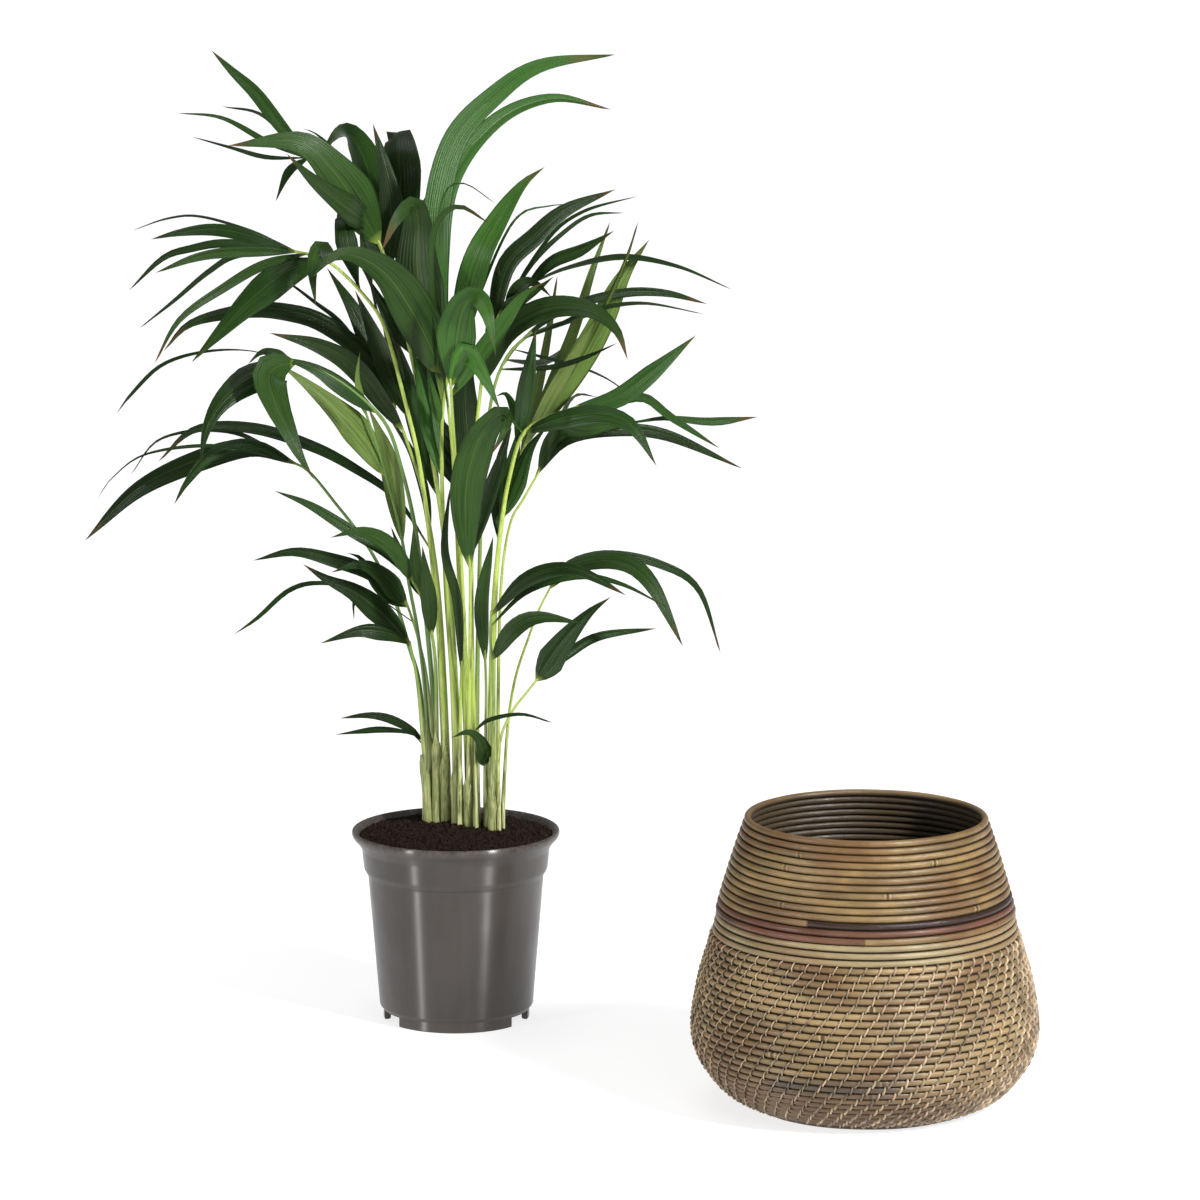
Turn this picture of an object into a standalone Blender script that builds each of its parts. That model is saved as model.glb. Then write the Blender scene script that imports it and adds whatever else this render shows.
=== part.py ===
"""A kentia palm in its nursery pot, with the coiled rattan basket that it came with standing beside it.

Everything is modelled in metres, +Z up, with the origin on the floor under the middle of the pot. The sizes
below are in millimetres.
"""

import math
from collections import namedtuple

import bmesh
import bpy
import numpy as np
from mathutils import Vector
from mathutils import noise

MM = 0.001
GAP = 0.3  # clearance between two pieces that touch

# The nursery pot: its foot, and (radius, height) up its outside to the flared lip and up its inside.
POT_FOOT_R, POT_FOOT_INNER_R = 66.5, 60.0
POT_BOSS_R = 24.0
POT_FOOT_Z, POT_FLOOR_Z = 10.0, 12.5
POT_OUTSIDE = (
    (69.8, 12.5), (79.7, 133.0), (83.4, 139.5), (85.2, 158.0), (88.5, 163.5), (93.2, 168.5),
    (94.5, 171.5), (93.9, 174.3), (92.2, 175.0),
)
POT_INSIDE = ((68.2, 12.5), (78.1, 133.0), (81.8, 139.5), (83.6, 158.5), (86.4, 168.0), (90.2, 173.6))
POT_TURN_STEPS = 32
POT_NOTCH_DEGREES, POT_NOTCH_WIDTH = (90.0, 206.0, 334.0), 32.0
DRAIN_HOLES, DRAIN_HOLE_R, DRAIN_CIRCLE_R, DRAIN_SIDES = 6, 4.5, 44.0, 8

# The soil: its height at the wall and in the middle, and the lumps on it.
SOIL_EDGE_Z, SOIL_MIDDLE_Z = 169.0, 176.0
SOIL_LUMP, SOIL_LUMP_SIZE = 1.6, 14.0
SOIL_RINGS = (15.0, 31.0, 47.0, 63.0, 78.0)
STALK_BOTTOM_Z, STALK_STRAIGHT_Z = 150.0, 183.0
STALK_HOLE_SIDES = 6

# The basket: where it stands, and its outline from the base up as (radius, height).
BASKET_AT = (359.5, -292.0)
BASKET_OUTLINE = (
    (104.0, 3.3), (121.0, 12.0), (134.0, 25.0), (146.5, 45.0), (151.0, 70.0), (145.0, 110.0),
    (136.0, 142.0), (127.5, 179.0), (120.0, 205.0), (111.5, 232.0), (104.0, 254.0),
)
ROD_THICK, ROD_GROOVE = 6.6, 2.0
BELLY_RODS, DARK_RODS, NECK_RODS = 29, 3, 11
BASKET_TURN_STEPS = 24

# The plant is drawn in front elevation, as it looks from a camera here. A point that is moved back or
# forward slides along its line of sight, so the front view stays as drawn.
DRAWN_FROM = (131.0, -5320.0, 1372.0)
DEPTH_STRETCH = 1.6

# Leaflets: a roof-shaped blade, thickest at its rib.
RIB_THICK, TIP_THICK = 1.5, 0.8
ROOF_SLOPE = 0.18
ROOT_WIDTH = 3.0
BLADE_STEP = 46.0
BLADE_LEAST_STEPS, BLADE_MOST_STEPS = 4, 7
STALK_SIDES = 5
STALK_STEP = 44.0
STALK_END_SHARE = 0.5
STALK_PLACES, STALK_END_PLACES = 250, 4  # places a leaflet can grow from; the last ones are left out
SAMPLES_PER_SPAN = 12

COLOURS = {
    "pot_plastic": ((0.085, 0.075, 0.068, 1.0), 0.5),
    "soil": ((0.030, 0.019, 0.012, 1.0), 0.95),
    "leaf_green": ((0.048, 0.110, 0.030, 1.0), 0.42),
    "leaf_dark": ((0.020, 0.055, 0.022, 1.0), 0.40),
    "leaf_light": ((0.130, 0.230, 0.050, 1.0), 0.42),
    "rattan": ((0.36, 0.22, 0.11, 1.0), 0.55),
    "rattan_dark": ((0.13, 0.055, 0.025, 1.0), 0.5),
}

Leaflet = namedtuple("Leaflet", "seen turn peak points")
Frond = namedtuple("Frond", "name colour root girth stalk leaflets")


def leaf(seen, turn, *points, peak=0.42):
    """A leaflet: the width it shows in the front view, how far it is turned out of that view in degrees
    (0 faces the front, towards 90 is edge on), and its points as (x, height, depth). The first point
    finds the place on the stalk that it grows from. peak is where along it the blade is widest."""
    return Leaflet(seen, turn, peak, points)


FRONDS = (
    # The left palm.
    Frond("frond_left_high", "leaf_green", (-10, 24), 2.7,
          ((-11, 300, 6), (-20, 420, -4), (-31, 510, -6), (-45, 572, -4), (-62, 635, 0), (-80, 663, 2),
           (-107, 690, 4), (-130, 700, 4), (-150, 703, 4)),
          (leaf(12, 30, (-148, 703), (-185, 717, -12), (-215, 722, -30), (-245, 719, -45), (-270, 713, -55)),
           leaf(3, 76, (-140, 701), (-180, 721, 30), (-225, 734, 60), (-255, 732, 80), (-286, 721, 95)),
           leaf(8, 50, (-149, 703), (-200, 710, 14), (-235, 705, 26), (-260, 696, 34), (-290, 667, 40)),
           leaf(10, -35, (-144, 702), (-195, 702, -16), (-230, 697, -32), (-266, 683, -48)),
           leaf(6, 60, (-138, 701), (-190, 700, 44), (-218, 685, 64), (-250, 658, 84), (-281, 633, 98)),
           leaf(9, -40, (-132, 700), (-170, 690, -36), (-205, 670, -58), (-245, 641, -74), (-268, 601, -82)),
           leaf(28, 20, (-118, 695), (-150, 683, -14), (-183, 657, -22), (-211, 628, -27), (-235, 602, -28)),
           leaf(21, -25, (-112, 693), (-120, 703, -20), (-126, 686, -34), (-123, 653, -40)),
           leaf(26, 20, (-84, 667), (-92, 700, 14), (-97, 725, 20), (-100, 735, 32), (-105, 718, 46),
                peak=0.6))),
    Frond("frond_left_dark", "leaf_dark", (-6.5, 32), 2.5,
          ((-9, 300, 24), (-15, 400, 25), (-27, 480, 22), (-42, 530, 18), (-55, 565, 14)),
          (leaf(17, 30, (-50, 553), (-75, 605, 12), (-115, 638, 6), (-150, 649, 0), (-185, 650, -4),
                (-235, 638, -10), (-260, 612, -14)),
           leaf(19, -25, (-46, 541), (-86, 596, -6), (-120, 618, -16), (-165, 629, -26)),
           leaf(22, 25, (-54, 562), (-68, 607, 20), (-90, 652, 24), (-113, 688, 30)),
           leaf(5, 62, (-55, 565), (-95, 631, 34), (-125, 658, 44), (-165, 688, 56)))),
    Frond("frond_left_hanging", "leaf_green", (-14, 32), 2.7,
          ((-20, 300, 18), (-27, 380, 8), (-35, 450, -4), (-47, 505, -22), (-62, 548, -34), (-95, 580, -44),
           (-125, 597, -50), (-150, 604, -52)),
          (leaf(15, 35, (-70, 556), (-98, 580, -46), (-124, 597, -51), (-148, 605, -54), (-160, 607, -56)),
           leaf(15, 30, (-146, 603), (-160, 611, -50), (-172, 612, -46), (-184, 601, -42), peak=0.6),
           leaf(27, 25, (-145, 602), (-178, 591, -62), (-207, 569, -74), (-222, 543, -82), (-228, 512, -86)),
           leaf(43, -15, (-143, 602), (-157, 599, -64), (-166, 588, -74), (-159, 563, -84), (-149, 540, -90),
                (-139, 518, -92), (-126, 496, -92), peak=0.5),
           leaf(4, 70, (-149, 604), (-183, 613, -38), (-225, 612, -20), (-262, 600, -6), (-290, 573, 6),
                (-303, 555, 10), peak=0.7))),
    Frond("frond_left_light", "leaf_light", (-21.5, 32), 2.2,
          ((-27, 300, 22), (-34, 360, 20), (-41, 400, 16), (-47, 440, 10), (-60, 495, 0), (-72, 535, -8),
           (-80, 560, -12)),
          (leaf(27, 25, (-61, 500), (-80, 533, -8), (-100, 556, -16), (-130, 582, -22), (-156, 601, -26)),
           leaf(7, 55, (-79, 558), (-86, 585, -20), (-84, 612, -26)))),
    Frond("frond_left_low", "leaf_dark", (-25, 40), 2.4,
          ((-31, 300, 34), (-42, 345, 38), (-52, 380, 40), (-62, 405, 40), (-75, 430, 40), (-88, 450, 40),
           (-105, 472, 38), (-130, 503, 36), (-148, 513, 34)),
          (leaf(12, 30, (-142, 510), (-185, 528, 26), (-218, 518, 16), (-240, 494, 8), (-252, 473, 2)),
           leaf(20, 35, (-146, 512), (-182, 525, 46), (-232, 513, 54), (-286, 486, 62), (-333, 440, 68)),
           leaf(4, 68, (-147, 513), (-200, 540, 72), (-262, 534, 88), (-291, 500, 98)),
           leaf(3, 72, (-144, 511), (-210, 527, 6), (-275, 520, -14), (-307, 498, -24), (-321, 478, -30)))),
    Frond("frond_left_diagonal", "leaf_dark", (-10, 40), 2.4,
          ((-13, 300, 34), (-17, 400, 44), (-23, 445, 48)),
          (leaf(11, 35, (-21, 432), (-52, 479, 50), (-90, 507, 54), (-128, 527, 58), (-180, 543, 66),
                (-232, 542, 76), (-266, 512, 82), peak=0.55),
           leaf(9, -45, (-22, 440), (-26, 480, 60), (-38, 520, 76), (-58, 552, 92)))),
    Frond("frond_left_shelf", "leaf_green", (-17.5, 40), 2.3,
          ((-24, 300, 30), (-33, 350, 28), (-44, 385, 24)),
          (leaf(24, 30, (-44, 385), (-62, 407, 18), (-85, 419, 10), (-112, 411, 2)),
           leaf(18, 30, (-42, 380), (-68, 400, 30), (-84, 424, 32), (-97, 429, 34)),
           leaf(13, 40, (-44, 385), (-75, 411, 26), (-110, 424, 24), (-145, 431, 20), (-182, 422, 16)),
           leaf(5, 62, (-38, 366), (-80, 394, 14), (-122, 402, 12), (-150, 395, 4), (-178, 370, -4),
                (-200, 354, -8), peak=0.7))),
    Frond("frond_left_split", "leaf_green", (-18, 24), 2.4,
          ((-17, 300, 8), (-20, 350, -4), (-30, 388, -16), (-42, 410, -24)),
          (leaf(11, 35, (-41, 409), (-62, 430, -28), (-95, 451, -32), (-130, 473, -34), (-162, 486, -36)),
           leaf(15, 30, (-38, 404), (-58, 434, -40), (-85, 448, -54), (-112, 443, -64)),
           leaf(12, -30, (-41, 409), (-49, 430, -14), (-57, 453, -8)),
           leaf(18, 20, (-31, 390), (-36, 415, -20), (-37, 454, -24)),
           leaf(15, 25, (-21, 355), (-25, 392, -24), (-29, 436, -38)))),
    Frond("frond_left_broad", "leaf_dark", (-26, 24), 2.3,
          ((-33, 300, 12), (-41, 348, 6)),
          (leaf(15, 30, (-41, 347), (-60, 355, -6), (-86, 358, -14), (-122, 346, -22), peak=0.55),
           leaf(22, 25, (-41, 348), (-62, 370, 0), (-90, 393, -10), (-115, 405, -16), (-137, 419, -20)),
           leaf(5, 55, (-40, 343), (-72, 374, 14), (-90, 386, 10), (-91, 366, 6)))),
    Frond("frond_left_foot", "leaf_dark", (-29, 32), 2.0,
          ((-29, 235, 20), (-29, 258, 20)),
          (leaf(8, 40, (-29, 257), (-40, 267, 14), (-60, 277, 8), (-80, 280, 2), (-105, 277, -4)),
           leaf(6, 55, (-29, 252), (-40, 263, 26), (-70, 267, 34), (-109, 262, 44), peak=0.6))),
    # The middle palm.
    Frond("frond_middle_tall", "leaf_green", (0, 13), 2.8,
          ((-2, 300, 6), (-8, 400, 3), (-11, 500, 6), (-10, 560, 8), (-3, 597, 10), (14, 640, 12)),
          (leaf(24, 15, (-10, 562), (-14, 620, 9), (-15, 690, 10), (-13, 748, 16), (3, 803, 26),
                (36, 840, 36), (78, 868, 44), (145, 878, 54), peak=0.45),
           leaf(19, 35, (-8, 580), (-12, 690, 18), (-2, 765, 30), (38, 818, 50), (88, 839, 64),
                (141, 829, 78)),
           leaf(25, 15, (2, 610), (20, 690, -24), (40, 730, -26), (62, 762, -28), (82, 778, -30)),
           leaf(3, 76, (8, 626), (40, 705, -8), (60, 736, 2), (84, 743, 8), (106, 745, 14)),
           leaf(3, 74, (-2, 600), (-14, 700, -16), (-8, 752, -22), (10, 763, -30), (38, 745, -40)))),
    Frond("frond_middle_crown", "leaf_green", (4, 21), 2.8,
          ((1, 300, 16), (-5, 400, 18), (-14, 480, 20), (-28, 560, 24), (-45, 640, 30), (-62, 700, 34),
           (-85, 745, 36), (-110, 772, 38), (-138, 792, 40)),
          (leaf(44, 20, (-66, 708), (-86, 745, 22), (-107, 775, 12), (-138, 800, 4), (-200, 797, -6)),
           leaf(26, 24, (-74, 726), (-97, 743, 8), (-124, 765, -4), (-148, 790, -12)),
           leaf(50, -20, (-68, 716), (-70, 755, 50), (-80, 789, 60), (-93, 808, 70), (-105, 805, 88),
                (-117, 788, 96), peak=0.6),
           leaf(13, 20, (-135, 790), (-153, 815, 44), (-175, 844, 50), (-195, 863, 54), (-214, 882, 58)),
           leaf(4, 70, (-137, 791), (-168, 824, 62), (-205, 832, 80)),
           leaf(5, 62, (-126, 784), (-165, 801, 26), (-205, 822, 10), (-245, 826, -2)),
           leaf(4, 68, (-131, 788), (-165, 787, 54), (-195, 795, 68), (-232, 805, 84)),
           leaf(8, 30, (-134, 789), (-146, 774, 30), (-158, 747, 24)),
           leaf(30, 15, (-58, 687), (-55, 740, 38), (-62, 782, 42), (-71, 817, 46), peak=0.5),
           leaf(38, 15, (-50, 655), (-44, 700, 58), (-46, 750, 62), (-48, 790, 70), (-49, 808, 90),
                (-50, 795, 112), (-50, 768, 118), peak=0.6),
           leaf(4, 66, (-83, 741), (-104, 790, 56), (-122, 808, 60), (-134, 812, 64)))),
    Frond("frond_middle_front", "leaf_green", (11.5, 21), 2.5,
          ((8, 300, 16), (4, 400, 12), (0, 500, 4), (-6, 570, -4), (-12, 600, -10)),
          (leaf(38, 15, (-11, 596), (-32, 640, -30), (-58, 680, -50), (-86, 698, -64), (-108, 697, -74),
                (-127, 678, -80), peak=0.34),
           leaf(46, -20, (-7, 577), (-24, 640, -22), (-31, 690, -26), (-31, 728, -30), (-36, 744, -42),
                (-50, 732, -54), (-64, 702, -60), peak=0.55),
           leaf(6, 45, (-4, 555), (-19, 665, -32), (-17, 722, -42), (4, 743, -46), (33, 727, -50),
                peak=0.7))),
    Frond("frond_middle_right", "leaf_green", (18.5, 5), 2.6,
          ((16, 300, 0), (15, 400, 2), (17, 500, 6), (22, 560, 8), (30, 615, 9), (45, 652, 10),
           (72, 677, 11)),
          (leaf(18, 25, (33, 624), (45, 687, 20), (72, 716, 28), (100, 740, 36), (145, 758, 46)),
           leaf(4, 72, (40, 642), (82, 711, -10), (115, 738, -24), (165, 752, -40)),
           leaf(5, 66, (50, 657), (70, 692, 30), (95, 717, 44), (122, 735, 60), (153, 737, 76)),
           leaf(12, 35, (66, 672), (88, 693, 0), (115, 704, -10), (144, 721, -20)),
           leaf(4, 76, (71, 676), (100, 688, 22), (150, 699, 44), (200, 690, 66), (249, 668, 84)),
           leaf(14, -30, (48, 655), (62, 674, -8), (74, 674, -18), (88, 661, -26)),
           leaf(21, 30, (25, 582), (47, 628, -14), (82, 650, -28), (120, 650, -42), (145, 632, -50),
                (156, 604, -56)))),
    Frond("frond_middle_back", "leaf_dark", (19, 21), 2.5,
          ((20, 300, 16), (22, 400, 20), (26, 500, 24), (34, 570, 28), (48, 608, 30), (70, 630, 32)),
          (leaf(9, 40, (44, 598), (62, 623, 38), (100, 651, 42), (150, 665, 50), (190, 665, 58),
                (227, 655, 66), peak=0.6),
           leaf(4, 66, (62, 623), (92, 636, 20), (125, 650, 10), (170, 656, -4), (224, 646, -18)),
           leaf(5, 50, (66, 627), (86, 634, 66), (108, 641, 96), (128, 646, 114)),
           leaf(5, 55, (42, 595), (85, 598, 16), (115, 606, 4), (147, 620, -10)),
           leaf(6, -50, (46, 604), (80, 603, 62), (105, 618, 90), (127, 636, 110)),
           leaf(3, 60, (54, 614), (110, 599, 64), (135, 589, 80), (153, 577, 92)))),
    Frond("frond_middle_fold", "leaf_green", (15, 13), 2.4,
          ((11, 300, 2), (7, 400, -12), (3, 480, -24), (-1, 550, -34), (-3, 588, -40)),
          (leaf(46, 15, (-3, 586), (4, 632, -46), (10, 653, -54), (20, 661, -66), (30, 647, -76),
                (38, 608, -80), peak=0.5),
           leaf(16, -30, (-2, 572), (18, 604, -32), (40, 634, -36), (62, 663, -42), (82, 675, -46)))),
    Frond("frond_middle_low", "leaf_green", (11, 5), 2.4,
          ((13, 300, -8), (14, 400, -22), (13, 430, -26)),
          (leaf(31, 15, (13, 416), (10, 455, -32), (12, 497, -42), (24, 535, -52), (42, 556, -62),
                (48, 546, -74), (34, 519, -82), peak=0.45),
           leaf(14, 30, (13, 425), (25, 467, -24), (38, 505, -26), (52, 544, -28)))),
    Frond("frond_middle_spear", "leaf_dark", (3.5, 5), 2.1,
          ((5, 300, -6), (6, 330, -8)),
          (leaf(9, 25, (6, 322), (2, 385, -14), (-9, 432, -22), (-4, 488, -30)),)),
    Frond("frond_middle_foot", "leaf_dark", (18.5, -3.5), 2.0,
          ((18, 235, -4), (18, 268, -8)),
          (leaf(4, 45, (18, 266), (31, 276, -22), (60, 281, -30), (88, 273, -36)),)),
    # The right palm.
    Frond("frond_right_bright", "leaf_green", (35, 2), 3.2,
          ((34, 300, -6), (37, 400, -16), (43, 460, -22), (50, 500, -27), (62, 538, -32), (85, 553, -36),
           (112, 562, -38)),
          (leaf(18, 25, (64, 540), (95, 551, -48), (130, 556, -58), (160, 545, -64), (182, 508, -68)),
           leaf(18, 20, (110, 561), (145, 570, -34), (180, 596, -26), (217, 627, -16)),
           leaf(9, 45, (104, 559), (140, 566, -26), (170, 571, -16), (195, 553, -8), (239, 524, 2)),
           leaf(8, 40, (98, 557), (150, 548, -14), (190, 552, -2), (230, 549, 6), (273, 553, 14), peak=0.8),
           leaf(15, -35, (88, 554), (112, 542, -40), (140, 545, -38), (162, 550, -36)))),
    Frond("frond_right_straw", "leaf_green", (38.5, 10), 2.0,
          ((39, 300, 10), (42, 400, 12), (50, 455, 14), (62, 478, 16), (79, 508, 17)),
          (leaf(12, 35, (78, 506), (100, 531, 20), (140, 541, 26), (190, 537, 38), (259, 506, 52)),
           leaf(15, 30, (76, 503), (92, 535, 8), (118, 541, 2), (150, 541, -6)),
           leaf(5, -60, (72, 496), (92, 545, 32), (108, 572, 44), (129, 571, 54)))),
    Frond("frond_right_arch", "leaf_green", (42.5, 2), 1.8,
          ((46, 250, 4), (50, 290, 5), (56, 320, 5), (66, 350, 5), (76, 377, 5), (88, 401, 5)),
          (leaf(8, 40, (88, 401), (103, 420, 14), (140, 428, 22), (185, 419, 30), (220, 396, 38),
                (240, 337, 44)),
           leaf(17, 25, (87, 399), (108, 417, -10), (148, 421, -24), (176, 401, -34), (206, 343, -42)))),
    Frond("frond_right_broad", "leaf_dark", (39, -6), 2.0,
          ((39, 235, -8), (42, 262, -11), (52, 284, -14), (64, 300, -16), (75, 314, -18)),
          (leaf(33, 20, (75, 313), (98, 348, -26), (121, 374, -32), (141, 389, -36)),
           leaf(9, 40, (74, 312), (100, 335, -8), (130, 353, 4), (182, 360, 20)))),
    Frond("frond_right_upright", "leaf_light", (31, 10), 2.7,
          ((32, 300, 14), (36, 400, 22), (45, 470, 30), (58, 512, 36), (70, 542, 40)),
          (leaf(25, 20, (67, 535), (93, 573, 46), (126, 627, 52), (151, 679, 58), (175, 713, 64)),
           leaf(11, 30, (61, 519), (82, 570, 58), (106, 628, 74), (124, 685, 90), (140, 729, 100)),
           leaf(7, 45, (69, 539), (102, 592, 30), (134, 650, 30), (154, 695, 32), (165, 729, 34)),
           leaf(13, -30, (64, 528), (92, 582, 22), (128, 642, 14)),
           leaf(9, 40, (59, 515), (73, 570, 66), (83, 620, 88), (93, 681, 108)))),
    Frond("frond_right_low", "leaf_green", (33, -8), 2.2,
          ((35, 300, -15), (32, 350, -23), (33, 376, -27)),
          (leaf(14, 35, (33, 374), (60, 403, -38), (90, 415, -50), (118, 411, -62), (155, 390, -72)),
           leaf(6, 50, (32, 362), (65, 394, -30), (110, 408, -38), (150, 401, -44), (192, 379, -48)),
           leaf(16, 35, (31, 332), (54, 358, -40), (78, 369, -50), (117, 364, -60)))),
    Frond("frond_right_small", "leaf_green", (27.5, 2), 2.1,
          ((27, 225, 0), (28, 300, 4), (27, 340, 4)),
          (leaf(13, 25, (27, 330), (24, 385, 1), (35, 445, -3)),
           leaf(19, 20, (27, 233), (23, 254, -12), (12, 264, -18), (-4, 259, -24)))),
)


def clear_scene():
    for obj in list(bpy.data.objects):
        bpy.data.objects.remove(obj, do_unlink=True)


def material(name):
    """A plain Principled material in the piece's own colour."""
    found = bpy.data.materials.get(name)
    if found:
        return found
    colour, roughness = COLOURS[name]
    made = bpy.data.materials.new(name)
    made.use_nodes = True
    shader = made.node_tree.nodes["Principled BSDF"]
    shader.inputs["Base Color"].default_value = colour
    shader.inputs["Roughness"].default_value = roughness
    shader.inputs["Metallic"].default_value = 0.0
    made.diffuse_color = colour
    return made


def new_object(name, mesh, collection=None):
    obj = bpy.data.objects.new(name, mesh)
    (collection or bpy.context.scene.collection).objects.link(obj)
    return obj


def finish(obj, colour, smooth_degrees=40.0):
    obj.data.materials.clear()
    obj.data.materials.append(material(colour))
    obj.data.shade_smooth()
    obj.data.set_sharp_from_angle(angle=math.radians(smooth_degrees))
    return obj


def turned(name, outline, steps, at=(0.0, 0.0)):
    """A solid turned about a vertical axis from its closed half outline, given as (radius, height)."""
    mesh = bpy.data.meshes.new(name)
    bm = bmesh.new()
    points = [bm.verts.new((radius * MM, 0.0, height * MM)) for radius, height in outline]
    ends_on_axis = outline[0][0] == 0.0
    pairs = list(zip(points, points[1:]))
    if not ends_on_axis:
        pairs.append((points[-1], points[0]))
    edges = [bm.edges.new(pair) for pair in pairs]
    bmesh.ops.spin(bm, geom=points + edges, cent=(0, 0, 0), axis=(0, 0, 1), angle=2 * math.pi,
                   steps=steps, use_merge=True)
    bmesh.ops.remove_doubles(bm, verts=bm.verts, dist=1e-6)
    bmesh.ops.recalc_face_normals(bm, faces=bm.faces)
    bm.to_mesh(mesh)
    bm.free()
    obj = new_object(name, mesh)
    obj.location = (at[0] * MM, at[1] * MM, 0.0)
    return obj


def helper_collection(name):
    made = bpy.data.collections.new(name)
    bpy.context.scene.collection.children.link(made)
    return made


def combine(obj, helpers, operation):
    """One Boolean with every object of the collection, applied, with those objects then removed."""
    for helper in helpers.objects:
        helper.hide_render = True
        helper.display_type = "WIRE"
    boolean = obj.modifiers.new(operation.title(), "BOOLEAN")
    boolean.operation = operation
    boolean.operand_type = "COLLECTION"
    boolean.collection = helpers
    boolean.solver = "EXACT"
    graph = bpy.context.evaluated_depsgraph_get()
    result = bpy.data.meshes.new_from_object(obj.evaluated_get(graph))
    obj.modifiers.remove(boolean)
    obj.data = result
    for helper in list(helpers.objects):
        bpy.data.objects.remove(helper, do_unlink=True)
    bpy.data.collections.remove(helpers)


def box(name, size, centre, turn, collection):
    mesh = bpy.data.meshes.new(name)
    bm = bmesh.new()
    bmesh.ops.create_cube(bm, size=1.0)
    bmesh.ops.scale(bm, vec=[side * MM for side in size], verts=bm.verts)
    bm.to_mesh(mesh)
    bm.free()
    obj = new_object(name, mesh, collection)
    obj.location = [value * MM for value in centre]
    obj.rotation_euler.z = turn
    return obj


def rod(name, radius, low, high, at, sides, collection):
    """An upright cylinder, used as a cutter."""
    mesh = bpy.data.meshes.new(name)
    bm = bmesh.new()
    bmesh.ops.create_cone(bm, cap_ends=True, segments=sides, radius1=radius * MM, radius2=radius * MM,
                          depth=(high - low) * MM)
    bm.to_mesh(mesh)
    bm.free()
    obj = new_object(name, mesh, collection)
    obj.location = (at[0] * MM, at[1] * MM, (low + high) / 2 * MM)
    return obj


def pot_inner_radius(height):
    """The radius of the pot's inner wall at a height."""
    radii, heights = zip(*POT_INSIDE)
    return float(np.interp(height, heights, radii))


def pot():
    outline = [
        (0.0, 0.0), (POT_BOSS_R, 0.0), (POT_BOSS_R + 1.5, POT_FOOT_Z), (POT_FOOT_INNER_R, POT_FOOT_Z),
        (POT_FOOT_INNER_R + 0.8, 0.0), (POT_FOOT_R, 0.0), (POT_FOOT_R, POT_FOOT_Z),
        *POT_OUTSIDE, *reversed(POT_INSIDE), (0.0, POT_FLOOR_Z),
    ]
    obj = turned("pot", outline, POT_TURN_STEPS)
    cutters = helper_collection("pot_cutters")
    notch_r = (POT_FOOT_INNER_R + POT_FOOT_R) / 2
    for degrees in POT_NOTCH_DEGREES:
        turn = math.radians(degrees)
        centre = (notch_r * math.cos(turn), notch_r * math.sin(turn), 1.0)
        box("notch", (14.0, POT_NOTCH_WIDTH, 2 * (POT_FOOT_Z - 2.0)), centre, turn, cutters)
    for index in range(DRAIN_HOLES):
        turn = 2 * math.pi * index / DRAIN_HOLES
        at = (DRAIN_CIRCLE_R * math.cos(turn), DRAIN_CIRCLE_R * math.sin(turn))
        rod("drain", DRAIN_HOLE_R, POT_FOOT_Z - 3, POT_FLOOR_Z + 3, at, DRAIN_SIDES, cutters)
    combine(obj, cutters, "DIFFERENCE")
    return finish(obj, "pot_plastic")


def soil_height(radius):
    share = radius / pot_inner_radius(SOIL_EDGE_Z)
    return SOIL_EDGE_Z + (SOIL_MIDDLE_Z - SOIL_EDGE_Z) * (1.0 - share * share)


def soil():
    low = POT_FLOOR_Z + GAP
    wall_heights = [height for _, height in POT_INSIDE if height < SOIL_EDGE_Z]
    outline = [(0.0, low)]
    outline += [(pot_inner_radius(z) - GAP, z) for z in (low, *wall_heights[1:], SOIL_EDGE_Z)]
    outline += [(radius, soil_height(radius)) for radius in reversed(SOIL_RINGS)]
    outline.append((0.0, SOIL_MIDDLE_Z))
    obj = turned("soil", outline, POT_TURN_STEPS)
    for vertex in obj.data.vertices:
        radius = math.hypot(vertex.co.x, vertex.co.y) / MM
        if vertex.co.z > (SOIL_EDGE_Z + 0.1) * MM:
            lump = noise.noise(vertex.co / (SOIL_LUMP_SIZE * MM))
            vertex.co.z += SOIL_LUMP * lump * min(1.0, (SOIL_RINGS[-1] + 6.0 - radius) / 12.0) * MM
    cutters = helper_collection("stalk_holes")
    for frond in FRONDS:
        hole_r = (frond.girth + GAP) / math.cos(math.pi / STALK_HOLE_SIDES)
        rod("hole", hole_r, STALK_BOTTOM_Z - GAP, SOIL_MIDDLE_Z + 12, frond.root, STALK_HOLE_SIDES, cutters)
    combine(obj, cutters, "DIFFERENCE")
    return finish(obj, "soil")


def smooth_curve(points, samples):
    """Points along a smooth curve through the given ones, the first and last included."""
    padded = [2 * points[0] - points[1], *points, 2 * points[-1] - points[-2]]
    found = []
    for a, b, c, d in zip(padded, padded[1:], padded[2:], padded[3:]):
        for step in range(samples):
            t = step / samples
            found.append(0.5 * (2 * b + (c - a) * t + (2 * a - 5 * b + 4 * c - d) * t ** 2
                                + (3 * b - a - 3 * c + d) * t ** 3))
    found.append(points[-1])
    return found


def lengths_along(points):
    """How far along the line each of its points lies."""
    runs = [0.0]
    for a, b in zip(points, points[1:]):
        runs.append(runs[-1] + (b - a).length)
    return runs


def evenly(points, count):
    """count + 1 points evenly spaced along a line of many points."""
    runs = lengths_along(points)
    places = np.linspace(0.0, runs[-1], count + 1)
    axes = [np.interp(places, runs, [point[axis] for point in points]) for axis in range(3)]
    return [Vector(place) for place in zip(*axes)]


def in_space(drawn):
    """The place in space of a drawn point (x, depth, height): depth moves it along its line of sight."""
    eye = Vector(DRAWN_FROM)
    flat = Vector((drawn.x, 0.0, drawn.z))
    return flat + (flat - eye) * (drawn.y / -eye.y)


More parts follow.
